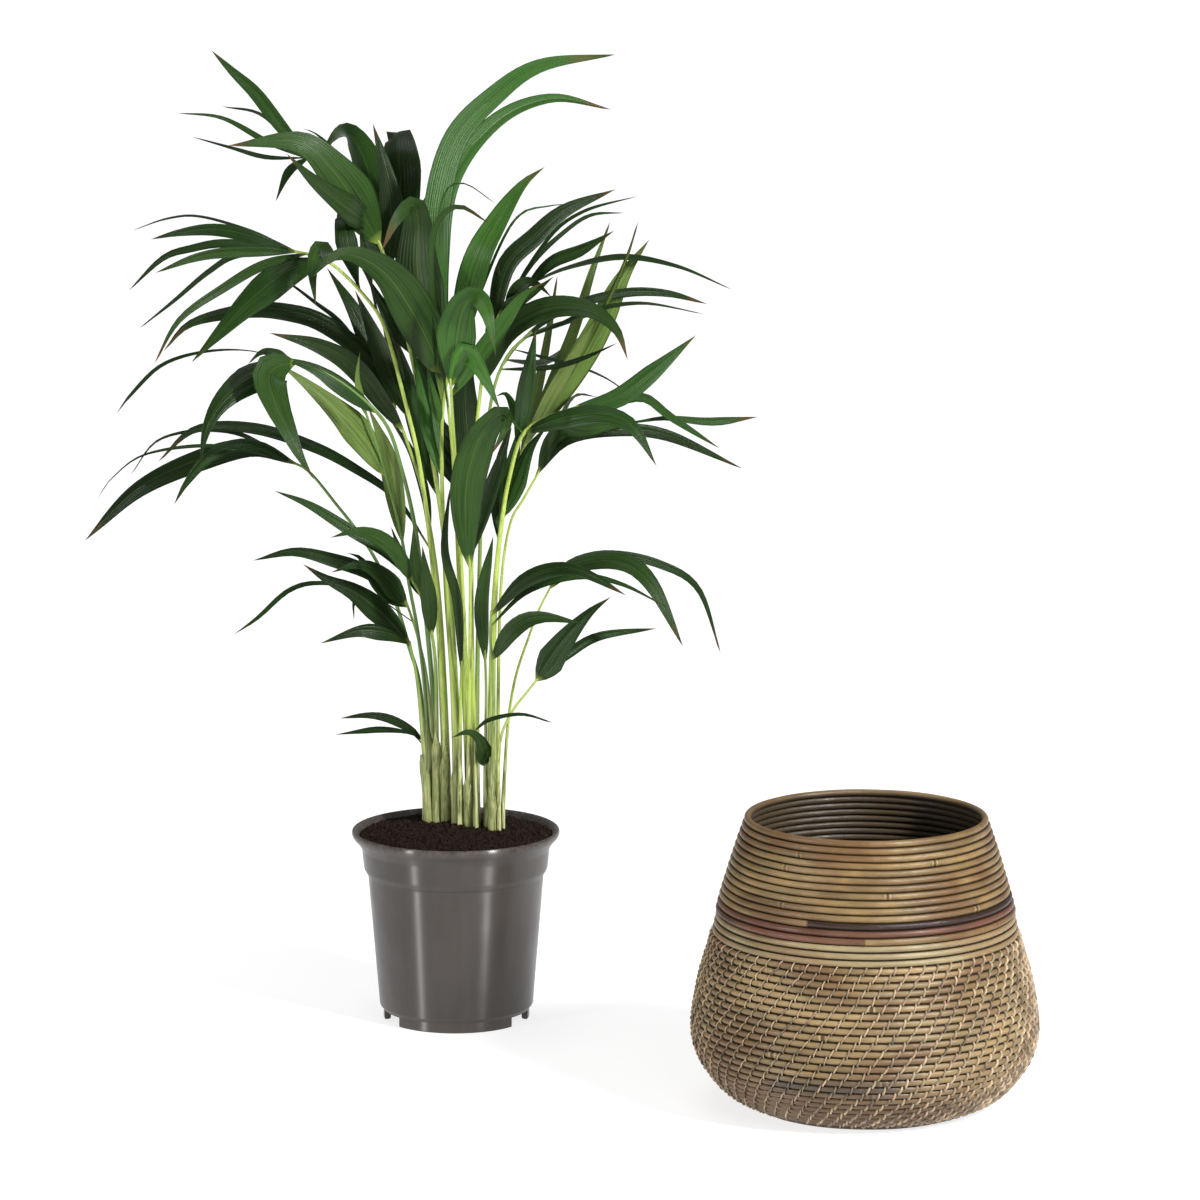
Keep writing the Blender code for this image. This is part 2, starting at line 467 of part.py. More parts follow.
def drawn_at(place):
    """The drawn point (x, depth, height) of a place in space, which undoes in_space."""
    eye = Vector(DRAWN_FROM)
    share = place.y / -eye.y
    flat = (place + eye * share) / (1 + share)
    return Vector((flat.x, place.y, flat.z))


def drawn_point(x, height, depth):
    return Vector((x, depth * DEPTH_STRETCH, height))


def stalk_points(frond):
    """The places in space along the middle of a frond's stalk, from its end in the soil."""
    x, y = frond.root
    foot = drawn_at(Vector((x, y, STALK_BOTTOM_Z)))
    collar = drawn_at(Vector((x, y, STALK_STRAIGHT_Z)))
    line = smooth_curve([foot, collar, *(drawn_point(*point) for point in frond.stalk)], SAMPLES_PER_SPAN)
    upper = [in_space(point) for point in line[SAMPLES_PER_SPAN:]]
    steps = max(2, round(lengths_along(upper)[-1] / STALK_STEP))
    return [Vector((x, y, STALK_BOTTOM_Z)), *evenly(upper, steps)]


def leaflet_places(points):
    """The drawn points along a stalk that a leaflet can grow from."""
    return [drawn_at(place) for place in evenly(points, STALK_PLACES)[1:-STALK_END_PLACES]]


def leaflet_line(leaflet, places):
    """The places in space along a leaflet's rib, from the middle of the stalk to its tip."""
    x, height = leaflet.points[0]
    start = min(places, key=lambda point: (point.x - x) ** 2 + (point.z - height) ** 2)
    drawn = [start, *(drawn_point(*point) for point in leaflet.points[1:])]
    return [in_space(point) for point in smooth_curve(drawn, SAMPLES_PER_SPAN)]


def tangents(points):
    ends = [points[0], *points, points[-1]]
    return [(after - before).normalized() for before, after in zip(ends, ends[2:])]


def blade_width_share(share, peak):
    """The width of a lance-shaped blade at a share of its length, as a share of its greatest width."""
    power = math.log(0.5) / math.log(peak)
    return max(0.0, math.sin(math.pi * share ** power)) ** 0.85


def across_blade(point, along, turn, last):
    """The direction across a blade that is turned out of the front view, kept on one side of the last."""
    sight = (point - Vector(DRAWN_FROM)).normalized()
    side = along.cross(sight)
    if last is not None and side.dot(last[0]) < 0 or last is None and side.z < 0:
        side.negate()
    side.normalize()
    back = side.cross(along)
    if back.dot(sight) < 0:
        back.negate()
    across = side * math.cos(turn) + back * math.sin(turn)
    return side, across


def blade(name, leaflet, places, collection):
    """A leaflet as a closed roof-shaped blade, whose root is sunk in the stalk."""
    line = leaflet_line(leaflet, places)
    length = lengths_along(line)[-1]
    steps = min(BLADE_MOST_STEPS, max(BLADE_LEAST_STEPS, round(length / BLADE_STEP) + 1))
    points = evenly(line, steps)
    turn = math.radians(leaflet.turn)
    widest = leaflet.seen / math.cos(turn)
    vertices, last, upward = [], None, None
    for index, (point, along) in enumerate(zip(points[:-1], tangents(points))):
        share = index / steps
        side, across = across_blade(point, along, turn, last)
        last = (side,)
        up = across.cross(along).normalized()
        if upward is None:
            upward = -1.0 if up.z < 0 else 1.0
            reference = up * upward
        up = up if up.dot(reference) >= 0 else -up
        reference = up
        half = max(ROOT_WIDTH, widest * blade_width_share(share, leaflet.peak)) / 2
        thick = RIB_THICK + (TIP_THICK - RIB_THICK) * share
        edge_drop = up * (ROOF_SLOPE * half)
        vertices += [point - across * half - edge_drop, point + up * (thick / 2),
                     point + across * half - edge_drop, point - up * (thick / 2)]
    vertices.append(points[-1])
    faces = [(0, 3, 1), (1, 3, 2)]
    for ring in range(0, 4 * (steps - 1), 4):
        for edge, rib in ((0, 1), (2, 1), (2, 3), (0, 3)):
            faces.append((ring + edge, ring + rib, ring + 4 + rib))
            faces.append((ring + edge, ring + 4 + rib, ring + 4 + edge))
    end, tip = 4 * (steps - 1), 4 * steps
    faces += [(end + a, end + b, tip) for a, b in ((0, 1), (1, 2), (2, 3), (3, 0))]
    return closed_mesh_object(name, vertices, faces, collection)


def closed_mesh_object(name, vertices, faces, collection=None):
    mesh = bpy.data.meshes.new(name)
    mesh.from_pydata([vertex * MM for vertex in vertices], [], faces)
    bm = bmesh.new()
    bm.from_mesh(mesh)
    bmesh.ops.recalc_face_normals(bm, faces=bm.faces)
    bm.to_mesh(mesh)
    bm.free()
    return new_object(name, mesh, collection)


def stalk_tube(frond, points):
    """The frond's stalk as a tapering tube with flat ends, upright where it stands in the soil."""
    runs = lengths_along(points)
    vertices, faces = [], []
    across = Vector((1.0, 0.0, 0.0))
    for index, (point, along) in enumerate(zip(points, tangents(points))):
        if index < 2:
            along = Vector((0.0, 0.0, 1.0))
        across = (across - along * across.dot(along)).normalized()
        other = along.cross(across)
        radius = frond.girth * (1 + (STALK_END_SHARE - 1) * runs[index] / runs[-1])
        for side in range(STALK_SIDES):
            turn = 2 * math.pi * side / STALK_SIDES
            vertices.append(point + (across * math.cos(turn) + other * math.sin(turn)) * radius)
    for ring in range(len(points) - 1):
        low = ring * STALK_SIDES
        for side in range(STALK_SIDES):
            after = (side + 1) % STALK_SIDES
            faces.append((low + side, low + after, low + STALK_SIDES + after, low + STALK_SIDES + side))
    top = (len(points) - 1) * STALK_SIDES
    faces.append(tuple(range(STALK_SIDES)))
    faces.append(tuple(range(top, top + STALK_SIDES)))
    return closed_mesh_object(frond.name, vertices, faces)


def frond_node(frond):
    """One frond: its stalk and its leaflets joined in one solid."""
    points = stalk_points(frond)
    obj = stalk_tube(frond, points)
    places = leaflet_places(points)
    blades = helper_collection("blades")
    for index, leaflet in enumerate(frond.leaflets):
        blade(f"blade_{index}", leaflet, places, blades)
    combine(obj, blades, "UNION")
    return finish(obj, frond.colour)


def basket_curve():
    """The line of the rods' middles from the base up, as (radius, height), with its length so far."""
    outer = [Vector((radius, 0.0, height)) for radius, height in BASKET_OUTLINE]
    outer = smooth_curve(outer, SAMPLES_PER_SPAN)
    line = []
    for point, along in zip(outer, tangents(outer)):
        outward = Vector((along.z, 0.0, -along.x))
        line.append(point - outward * ROD_THICK / 2)
    return line, lengths_along(line)


def basket_point(line, runs, share, out):
    """A point at a share of the rods' line, moved outwards from it."""
    place = share * runs[-1]
    at = Vector([float(np.interp(place, runs, [point[axis] for point in line])) for axis in range(3)])
    step = 0.01 * runs[-1]
    ahead = Vector([float(np.interp(place + step, runs, [p[axis] for p in line])) for axis in range(3)])
    behind = Vector([float(np.interp(place - step, runs, [p[axis] for p in line])) for axis in range(3)])
    along = (ahead - behind).normalized()
    return at + Vector((along.z, 0.0, -along.x)) * out


def rod_stack(name, colour, first, count, line, runs, closed_end=False):
    """A stack of rods as one turned ring: a crest for each rod and a groove between, plain inside."""
    total = BELLY_RODS + DARK_RODS + NECK_RODS
    pitch = 1.0 / total
    cut = GAP / 2 / runs[-1]
    outside = [(first * pitch + cut, ROD_THICK / 2 - ROD_GROOVE)]
    for index in range(first, first + count):
        outside.append(((index + 0.5) * pitch, ROD_THICK / 2))
        outside.append(((index + 1) * pitch, ROD_THICK / 2 - ROD_GROOVE))
    outside[-1] = (outside[-1][0] - cut, outside[-1][1])
    inside_count = max(2, count // 3)
    shares = np.linspace(outside[0][0], outside[-1][0], inside_count + 1)
    if first == 0:
        outside[0] = (0.0, ROD_THICK / 2)
        shares[0] = 0.0
    inside = [(share, -ROD_THICK / 2) for share in shares]
    if closed_end:
        outside[-1] = (1.0, ROD_THICK / 4)
        inside[-1] = (1.0, -ROD_THICK / 4)
        outside.append((1.0 + 0.35 * pitch, 0.0))
    points = [basket_point(line, runs, share, out) for share, out in outside + inside[::-1]]
    outline = [(point.x, max(0.0, point.z)) for point in points]
    return finish(turned(name, outline, BASKET_TURN_STEPS, BASKET_AT), colour)


def basket():
    line, runs = basket_curve()
    rod_stack("basket_belly_coils", "rattan", 0, BELLY_RODS, line, runs)
    rod_stack("basket_dark_coils", "rattan_dark", BELLY_RODS, DARK_RODS, line, runs)
    rod_stack("basket_neck_coils", "rattan", BELLY_RODS + DARK_RODS, NECK_RODS, line, runs, closed_end=True)
    inwards = (line[0] - line[1]).normalized() * GAP
    low = basket_point(line, runs, 0.0, ROD_THICK / 2) + inwards
    high = basket_point(line, runs, 0.0, -ROD_THICK / 2) + inwards
    outline = ((0.0, 0.0), (low.x, 0.0), (low.x, low.z), (high.x, high.z), (0.0, high.z))
    finish(turned("basket_base", outline, BASKET_TURN_STEPS, BASKET_AT), "rattan")


def main():
    clear_scene()
    pot()
    soil()
    for frond in FRONDS:
        frond_node(frond)
    basket()


main()
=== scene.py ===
"""A kentia palm in its nursery pot, and the coiled rattan basket that stands beside it."""

import math
import random
from collections import namedtuple

import bmesh
import bpy
import numpy as np
from bpy.props import FloatProperty, FloatVectorProperty, IntProperty, PointerProperty
from bpy.types import Operator, Panel, PropertyGroup
from mathutils import Color, Matrix, Vector, noise


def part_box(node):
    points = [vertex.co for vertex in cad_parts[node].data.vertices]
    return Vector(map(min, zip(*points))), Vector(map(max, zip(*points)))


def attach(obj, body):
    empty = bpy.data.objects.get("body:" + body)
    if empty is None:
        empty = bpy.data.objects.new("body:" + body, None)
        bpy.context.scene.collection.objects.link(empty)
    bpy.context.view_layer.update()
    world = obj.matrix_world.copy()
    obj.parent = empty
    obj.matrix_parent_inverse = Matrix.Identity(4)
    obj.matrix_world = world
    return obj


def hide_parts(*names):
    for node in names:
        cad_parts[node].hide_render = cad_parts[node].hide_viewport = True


bl_info = {
    "name": "Kentia palm with rattan basket",
    "version": (1, 0, 0),
    "blender": (4, 5, 0),
    "location": "View3D > Sidebar > Kentia palm",
    "description": "Makes a kentia palm in its nursery pot, and a coiled rattan basket",
    "category": "Add Mesh",
}

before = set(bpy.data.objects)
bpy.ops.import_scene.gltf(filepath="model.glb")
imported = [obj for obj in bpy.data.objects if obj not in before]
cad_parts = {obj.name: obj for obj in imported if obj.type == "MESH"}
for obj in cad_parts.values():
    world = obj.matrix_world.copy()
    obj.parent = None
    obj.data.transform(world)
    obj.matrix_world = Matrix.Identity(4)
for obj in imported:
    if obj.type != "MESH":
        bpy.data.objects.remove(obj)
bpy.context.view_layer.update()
BODY = "root"
MM = 0.001

# The nursery pot's turned wall, outside and inside, as (radius, height) in millimetres.
POT_FOOT_R, POT_FOOT_INNER_R, POT_BOSS_R = 66.5, 60.0, 24.0
POT_FOOT_Z, POT_FLOOR_Z = 10.0, 12.5
POT_OUTSIDE = (
    (69.8, 12.5), (79.7, 133.0), (83.4, 139.5), (85.2, 158.0), (88.5, 163.5), (93.2, 168.5),
    (94.5, 171.5), (93.9, 174.3), (92.2, 175.0),
)
POT_INSIDE = ((68.2, 12.5), (78.1, 133.0), (81.8, 139.5), (83.6, 158.5), (86.4, 168.0), (90.2, 173.6))
# Height in millimetres of a thin line of painted shade in the crease under the collar.
POT_CREASE_SHADE_Z = 134.3
POT_NOTCH_DEGREES, POT_NOTCH_WIDTH = (90.0, 206.0, 334.0), 32.0
DRAIN_HOLES, DRAIN_HOLE_R, DRAIN_CIRCLE_R = 6, 4.5, 44.0

SOIL_EDGE_Z, SOIL_MIDDLE_Z = 169.0, 176.0
STALK_BOTTOM_Z, STALK_STRAIGHT_Z = 150.0, 183.0
SWELL_TOP_Z, SWELL_FADE = 165.0, 42.0
STALK_STEPS, STALK_SIDES = 60, 12
SHEATH_FOOT_Z, SHEATH_THICK = 160.0, 0.5
SHEATH_SIDES, SHEATH_ROWS = 18, 10

# The basket's outline from the base up, as (radius, height) in millimetres.
BASKET_OUTLINE = (
    (104.0, 3.3), (121.0, 12.0), (134.0, 25.0), (146.5, 45.0), (151.0, 70.0), (145.0, 110.0),
    (136.0, 142.0), (127.5, 179.0), (120.0, 205.0), (111.5, 232.0), (104.0, 254.0),
)
ROD_THICK = 6.6
BELLY_RODS, DARK_RODS, NECK_RODS = 29, 3, 11
ALL_RODS = BELLY_RODS + DARK_RODS + NECK_RODS
STITCHED_RODS, STEPS_PER_STITCH = 26, 4
ROD_TURN = 2.399
LASHED_INSET, STITCH_PROUD, LINING_HALF = 1.2, 0.5, 0.4
BASE_RODS, BASE_ROD_R, BASE_ROD_STEP, BASE_LIFT = 15, 4.0, 6.6, 0.2

FLOOR_HALF = 30.0
AIR_STRENGTH = 0.26

# Linear colours that shade the ones in the settings.
PEAT_FIBRE = (0.075, 0.036, 0.017)
YELLOWED_LEAF, DRY_TIP = (0.175, 0.225, 0.060), (0.115, 0.062, 0.026)
SHADED_STALK, UPPER_STALK = (0.085, 0.170, 0.030), (0.14, 0.24, 0.04)
STALK_STREAK, OLIVE_STREAK, PALE_STREAK = (0.070, 0.140, 0.018), (0.075, 0.105, 0.020), (0.62, 0.64, 0.38)
STALK_SCAR = (0.075, 0.040, 0.018)
SHEATH_GREEN, SHEATH_STAIN = (0.090, 0.150, 0.028), (0.110, 0.085, 0.030)
GREYED_CANE, CANE_JOINT = (0.23, 0.19, 0.12), (0.030, 0.018, 0.010)
PALE_CANE, PALEST_CANE, PALE_CANE_GRAIN = (0.21, 0.160, 0.075), (0.34, 0.270, 0.145), (0.13, 0.10, 0.05)
BELLY_CANE, BELLY_STREAK = (0.218, 0.150, 0.068), (0.050, 0.038, 0.030)
# The groove, inside and lining colours are painted shade: in the grooves where the rods touch, on the
# basket's inner side, and on the dark wall between the rods.
PAINTED_GROOVE_SHADE, PAINTED_INSIDE_SHADE, PAINTED_LINING_SHADE = (0.022, 0.015, 0.009), (0.085, 0.065, 0.040), (0.020, 0.014, 0.009)

# The plant is drawn in front elevation, as it looks from a camera here, in millimetres. A point that is
# moved back or forward slides along its line of sight, so the front view stays as drawn.
DRAWN_FROM = (131.0, -5320.0, 1372.0)
CAMERA_PITCH_DEGREES = 10.5
DEPTH_STRETCH = 1.6
ROOF_SLOPE = 0.18
ROOT_WIDTH = 3.0
STALK_END_SHARE = 0.5
SAMPLES_PER_SPAN = 12

Leaflet = namedtuple("Leaflet", "seen turn peak points")
Frond = namedtuple("Frond", "name colour root girth stalk leaflets")


def leaf(seen, turn, *points, peak=0.42):
    """A leaflet: the width it shows in the front view, how far it is turned out of that view in degrees
    (0 faces the front, towards 90 is edge on), and its points as (x, height, depth). The first point
    finds the place on the stalk that it grows from. peak is where along it the blade is widest."""
    return Leaflet(seen, turn, peak, points)


FRONDS = (
    # The left palm.
    Frond("frond_left_high", "leaf_green", (-10, 24), 2.7,
          ((-11, 300, 6), (-20, 420, -4), (-31, 510, -6), (-45, 572, -4), (-62, 635, 0), (-80, 663, 2),
           (-107, 690, 4), (-130, 700, 4), (-150, 703, 4)),
          (leaf(12, 30, (-148, 703), (-185, 717, -12), (-215, 722, -30), (-245, 719, -45), (-270, 713, -55)),
           leaf(3, 76, (-140, 701), (-180, 721, 30), (-225, 734, 60), (-255, 732, 80), (-286, 721, 95)),
           leaf(8, 50, (-149, 703), (-200, 710, 14), (-235, 705, 26), (-260, 696, 34), (-290, 667, 40)),
           leaf(10, -35, (-144, 702), (-195, 702, -16), (-230, 697, -32), (-266, 683, -48)),
           leaf(6, 60, (-138, 701), (-190, 700, 44), (-218, 685, 64), (-250, 658, 84), (-281, 633, 98)),
           leaf(9, -40, (-132, 700), (-170, 690, -36), (-205, 670, -58), (-245, 641, -74), (-268, 601, -82)),
           leaf(28, 20, (-118, 695), (-150, 683, -14), (-183, 657, -22), (-211, 628, -27), (-235, 602, -28)),
           leaf(21, -25, (-112, 693), (-120, 703, -20), (-126, 686, -34), (-123, 653, -40)),
           leaf(26, 20, (-84, 667), (-92, 700, 14), (-97, 725, 20), (-100, 735, 32), (-105, 718, 46),
                peak=0.6))),
    Frond("frond_left_dark", "leaf_dark", (-6.5, 32), 2.5,
          ((-9, 300, 24), (-15, 400, 25), (-27, 480, 22), (-42, 530, 18), (-55, 565, 14)),
          (leaf(17, 30, (-50, 553), (-75, 605, 12), (-115, 638, 6), (-150, 649, 0), (-185, 650, -4),
                (-235, 638, -10), (-260, 612, -14)),
           leaf(19, -25, (-46, 541), (-86, 596, -6), (-120, 618, -16), (-165, 629, -26)),
           leaf(22, 25, (-54, 562), (-68, 607, 20), (-90, 652, 24), (-113, 688, 30)),
           leaf(5, 62, (-55, 565), (-95, 631, 34), (-125, 658, 44), (-165, 688, 56)))),
    Frond("frond_left_hanging", "leaf_green", (-14, 32), 2.7,
          ((-20, 300, 18), (-27, 380, 8), (-35, 450, -4), (-47, 505, -22), (-62, 548, -34), (-95, 580, -44),
           (-125, 597, -50), (-150, 604, -52)),
          (leaf(15, 35, (-70, 556), (-98, 580, -46), (-124, 597, -51), (-148, 605, -54), (-160, 607, -56)),
           leaf(15, 30, (-146, 603), (-160, 611, -50), (-172, 612, -46), (-184, 601, -42), peak=0.6),
           leaf(27, 25, (-145, 602), (-178, 591, -62), (-207, 569, -74), (-222, 543, -82), (-228, 512, -86)),
           leaf(43, -15, (-143, 602), (-157, 599, -64), (-166, 588, -74), (-159, 563, -84), (-149, 540, -90),
                (-139, 518, -92), (-126, 496, -92), peak=0.5),
           leaf(4, 70, (-149, 604), (-183, 613, -38), (-225, 612, -20), (-262, 600, -6), (-290, 573, 6),
                (-303, 555, 10), peak=0.7))),
    Frond("frond_left_light", "leaf_light", (-21.5, 32), 2.2,
          ((-27, 300, 22), (-34, 360, 20), (-41, 400, 16), (-47, 440, 10), (-60, 495, 0), (-72, 535, -8),
           (-80, 560, -12)),
          (leaf(27, 25, (-61, 500), (-80, 533, -8), (-100, 556, -16), (-130, 582, -22), (-156, 601, -26)),
           leaf(7, 55, (-79, 558), (-86, 585, -20), (-84, 612, -26)))),
    Frond("frond_left_low", "leaf_dark", (-25, 40), 2.4,
          ((-31, 300, 34), (-42, 345, 38), (-52, 380, 40), (-62, 405, 40), (-75, 430, 40), (-88, 450, 40),
           (-105, 472, 38), (-130, 503, 36), (-148, 513, 34)),
          (leaf(12, 30, (-142, 510), (-185, 528, 26), (-218, 518, 16), (-240, 494, 8), (-252, 473, 2)),
           leaf(20, 35, (-146, 512), (-182, 525, 46), (-232, 513, 54), (-286, 486, 62), (-333, 440, 68)),
           leaf(4, 68, (-147, 513), (-200, 540, 72), (-262, 534, 88), (-291, 500, 98)),
           leaf(3, 72, (-144, 511), (-210, 527, 6), (-275, 520, -14), (-307, 498, -24), (-321, 478, -30)))),
    Frond("frond_left_diagonal", "leaf_dark", (-10, 40), 2.4,
          ((-13, 300, 34), (-17, 400, 44), (-23, 445, 48)),
          (leaf(11, 35, (-21, 432), (-52, 479, 50), (-90, 507, 54), (-128, 527, 58), (-180, 543, 66),
                (-232, 542, 76), (-266, 512, 82), peak=0.55),
           leaf(9, -45, (-22, 440), (-26, 480, 60), (-38, 520, 76), (-58, 552, 92)))),
    Frond("frond_left_shelf", "leaf_green", (-17.5, 40), 2.3,
          ((-24, 300, 30), (-33, 350, 28), (-44, 385, 24)),
          (leaf(24, 30, (-44, 385), (-62, 407, 18), (-85, 419, 10), (-112, 411, 2)),
           leaf(18, 30, (-42, 380), (-68, 400, 30), (-84, 424, 32), (-97, 429, 34)),
           leaf(13, 40, (-44, 385), (-75, 411, 26), (-110, 424, 24), (-145, 431, 20), (-182, 422, 16)),
           leaf(5, 62, (-38, 366), (-80, 394, 14), (-122, 402, 12), (-150, 395, 4), (-178, 370, -4),
                (-200, 354, -8), peak=0.7))),
    Frond("frond_left_split", "leaf_green", (-18, 24), 2.4,
          ((-17, 300, 8), (-20, 350, -4), (-30, 388, -16), (-42, 410, -24)),
          (leaf(11, 35, (-41, 409), (-62, 430, -28), (-95, 451, -32), (-130, 473, -34), (-162, 486, -36)),
           leaf(15, 30, (-38, 404), (-58, 434, -40), (-85, 448, -54), (-112, 443, -64)),
           leaf(12, -30, (-41, 409), (-49, 430, -14), (-57, 453, -8)),
           leaf(18, 20, (-31, 390), (-36, 415, -20), (-37, 454, -24)),
           leaf(15, 25, (-21, 355), (-25, 392, -24), (-29, 436, -38)))),
    Frond("frond_left_broad", "leaf_dark", (-26, 24), 2.3,
          ((-33, 300, 12), (-41, 348, 6)),
          (leaf(15, 30, (-41, 347), (-60, 355, -6), (-86, 358, -14), (-122, 346, -22), peak=0.55),
           leaf(22, 25, (-41, 348), (-62, 370, 0), (-90, 393, -10), (-115, 405, -16), (-137, 419, -20)),
           leaf(5, 55, (-40, 343), (-72, 374, 14), (-90, 386, 10), (-91, 366, 6)))),
    Frond("frond_left_foot", "leaf_dark", (-29, 32), 2.0,
          ((-29, 235, 20), (-29, 258, 20)),
          (leaf(8, 40, (-29, 257), (-40, 267, 14), (-60, 277, 8), (-80, 280, 2), (-105, 277, -4)),
           leaf(6, 55, (-29, 252), (-40, 263, 26), (-70, 267, 34), (-109, 262, 44), peak=0.6))),
    # The middle palm.
    Frond("frond_middle_tall", "leaf_green", (0, 13), 2.8,
          ((-2, 300, 6), (-8, 400, 3), (-11, 500, 6), (-10, 560, 8), (-3, 597, 10), (14, 640, 12)),
          (leaf(24, 15, (-10, 562), (-14, 620, 9), (-15, 690, 10), (-13, 748, 16), (3, 803, 26),
                (36, 840, 36), (78, 868, 44), (145, 878, 54), peak=0.45),
           leaf(19, 35, (-8, 580), (-12, 690, 18), (-2, 765, 30), (38, 818, 50), (88, 839, 64),
                (141, 829, 78)),
           leaf(25, 15, (2, 610), (20, 690, -24), (40, 730, -26), (62, 762, -28), (82, 778, -30)),
           leaf(3, 76, (8, 626), (40, 705, -8), (60, 736, 2), (84, 743, 8), (106, 745, 14)),
           leaf(3, 74, (-2, 600), (-14, 700, -16), (-8, 752, -22), (10, 763, -30), (38, 745, -40)))),
    Frond("frond_middle_crown", "leaf_green", (4, 21), 2.8,
          ((1, 300, 16), (-5, 400, 18), (-14, 480, 20), (-28, 560, 24), (-45, 640, 30), (-62, 700, 34),
           (-85, 745, 36), (-110, 772, 38), (-138, 792, 40)),
          (leaf(44, 20, (-66, 708), (-86, 745, 22), (-107, 775, 12), (-138, 800, 4), (-200, 797, -6)),
           leaf(26, 24, (-74, 726), (-97, 743, 8), (-124, 765, -4), (-148, 790, -12)),
           leaf(50, -20, (-68, 716), (-70, 755, 50), (-80, 789, 60), (-93, 808, 70), (-105, 805, 88),
                (-117, 788, 96), peak=0.6),
           leaf(13, 20, (-135, 790), (-153, 815, 44), (-175, 844, 50), (-195, 863, 54), (-214, 882, 58)),
           leaf(4, 70, (-137, 791), (-168, 824, 62), (-205, 832, 80)),
           leaf(5, 62, (-126, 784), (-165, 801, 26), (-205, 822, 10), (-245, 826, -2)),
           leaf(4, 68, (-131, 788), (-165, 787, 54), (-195, 795, 68), (-232, 805, 84)),
           leaf(8, 30, (-134, 789), (-146, 774, 30), (-158, 747, 24)),
           leaf(30, 15, (-58, 687), (-55, 740, 38), (-62, 782, 42), (-71, 817, 46), peak=0.5),
           leaf(38, 15, (-50, 655), (-44, 700, 58), (-46, 750, 62), (-48, 790, 70), (-49, 808, 90),
                (-50, 795, 112), (-50, 768, 118), peak=0.6),
           leaf(4, 66, (-83, 741), (-104, 790, 56), (-122, 808, 60), (-134, 812, 64)))),
    Frond("frond_middle_front", "leaf_green", (11.5, 21), 2.5,
          ((8, 300, 16), (4, 400, 12), (0, 500, 4), (-6, 570, -4), (-12, 600, -10)),
          (leaf(38, 15, (-11, 596), (-32, 640, -30), (-58, 680, -50), (-86, 698, -64), (-108, 697, -74),
                (-127, 678, -80), peak=0.34),
           leaf(46, -20, (-7, 577), (-24, 640, -22), (-31, 690, -26), (-31, 728, -30), (-36, 744, -42),
                (-50, 732, -54), (-64, 702, -60), peak=0.55),
           leaf(6, 45, (-4, 555), (-19, 665, -32), (-17, 722, -42), (4, 743, -46), (33, 727, -50),
                peak=0.7))),
    Frond("frond_middle_right", "leaf_green", (18.5, 5), 2.6,
          ((16, 300, 0), (15, 400, 2), (17, 500, 6), (22, 560, 8), (30, 615, 9), (45, 652, 10),
           (72, 677, 11)),
          (leaf(18, 25, (33, 624), (45, 687, 20), (72, 716, 28), (100, 740, 36), (145, 758, 46)),
           leaf(4, 72, (40, 642), (82, 711, -10), (115, 738, -24), (165, 752, -40)),
           leaf(5, 66, (50, 657), (70, 692, 30), (95, 717, 44), (122, 735, 60), (153, 737, 76)),
           leaf(12, 35, (66, 672), (88, 693, 0), (115, 704, -10), (144, 721, -20)),
           leaf(4, 76, (71, 676), (100, 688, 22), (150, 699, 44), (200, 690, 66), (249, 668, 84)),
           leaf(14, -30, (48, 655), (62, 674, -8), (74, 674, -18), (88, 661, -26)),
           leaf(21, 30, (25, 582), (47, 628, -14), (82, 650, -28), (120, 650, -42), (145, 632, -50),
                (156, 604, -56)))),
    Frond("frond_middle_back", "leaf_dark", (19, 21), 2.5,
          ((20, 300, 16), (22, 400, 20), (26, 500, 24), (34, 570, 28), (48, 608, 30), (70, 630, 32)),
          (leaf(9, 40, (44, 598), (62, 623, 38), (100, 651, 42), (150, 665, 50), (190, 665, 58),
                (227, 655, 66), peak=0.6),
           leaf(4, 66, (62, 623), (92, 636, 20), (125, 650, 10), (170, 656, -4), (224, 646, -18)),
           leaf(5, 50, (66, 627), (86, 634, 66), (108, 641, 96), (128, 646, 114)),
           leaf(5, 55, (42, 595), (85, 598, 16), (115, 606, 4), (147, 620, -10)),
           leaf(6, -50, (46, 604), (80, 603, 62), (105, 618, 90), (127, 636, 110)),
           leaf(3, 60, (54, 614), (110, 599, 64), (135, 589, 80), (153, 577, 92)))),
    Frond("frond_middle_fold", "leaf_green", (15, 13), 2.4,
          ((11, 300, 2), (7, 400, -12), (3, 480, -24), (-1, 550, -34), (-3, 588, -40)),
          (leaf(46, 15, (-3, 586), (4, 632, -46), (10, 653, -54), (20, 661, -66), (30, 647, -76),
                (38, 608, -80), peak=0.5),
           leaf(16, -30, (-2, 572), (18, 604, -32), (40, 634, -36), (62, 663, -42), (82, 675, -46)))),
    Frond("frond_middle_low", "leaf_green", (11, 5), 2.4,
          ((13, 300, -8), (14, 400, -22), (13, 430, -26)),
          (leaf(31, 15, (13, 416), (10, 455, -32), (12, 497, -42), (24, 535, -52), (42, 556, -62),
                (48, 546, -74), (34, 519, -82), peak=0.45),
           leaf(14, 30, (13, 425), (25, 467, -24), (38, 505, -26), (52, 544, -28)))),
    Frond("frond_middle_spear", "leaf_dark", (3.5, 5), 2.1,
          ((5, 300, -6), (6, 330, -8)),
          (leaf(9, 25, (6, 322), (2, 385, -14), (-9, 432, -22), (-4, 488, -30)),)),
    Frond("frond_middle_foot", "leaf_dark", (18.5, -3.5), 2.0,
          ((18, 235, -4), (18, 268, -8)),
          (leaf(4, 45, (18, 266), (31, 276, -22), (60, 281, -30), (88, 273, -36)),)),
    # The right palm.
    Frond("frond_right_bright", "leaf_green", (35, 2), 3.2,
          ((34, 300, -6), (37, 400, -16), (43, 460, -22), (50, 500, -27), (62, 538, -32), (85, 553, -36),
           (112, 562, -38)),
          (leaf(18, 25, (64, 540), (95, 551, -48), (130, 556, -58), (160, 545, -64), (182, 508, -68)),
           leaf(18, 20, (110, 561), (145, 570, -34), (180, 596, -26), (217, 627, -16)),
           leaf(9, 45, (104, 559), (140, 566, -26), (170, 571, -16), (195, 553, -8), (239, 524, 2)),
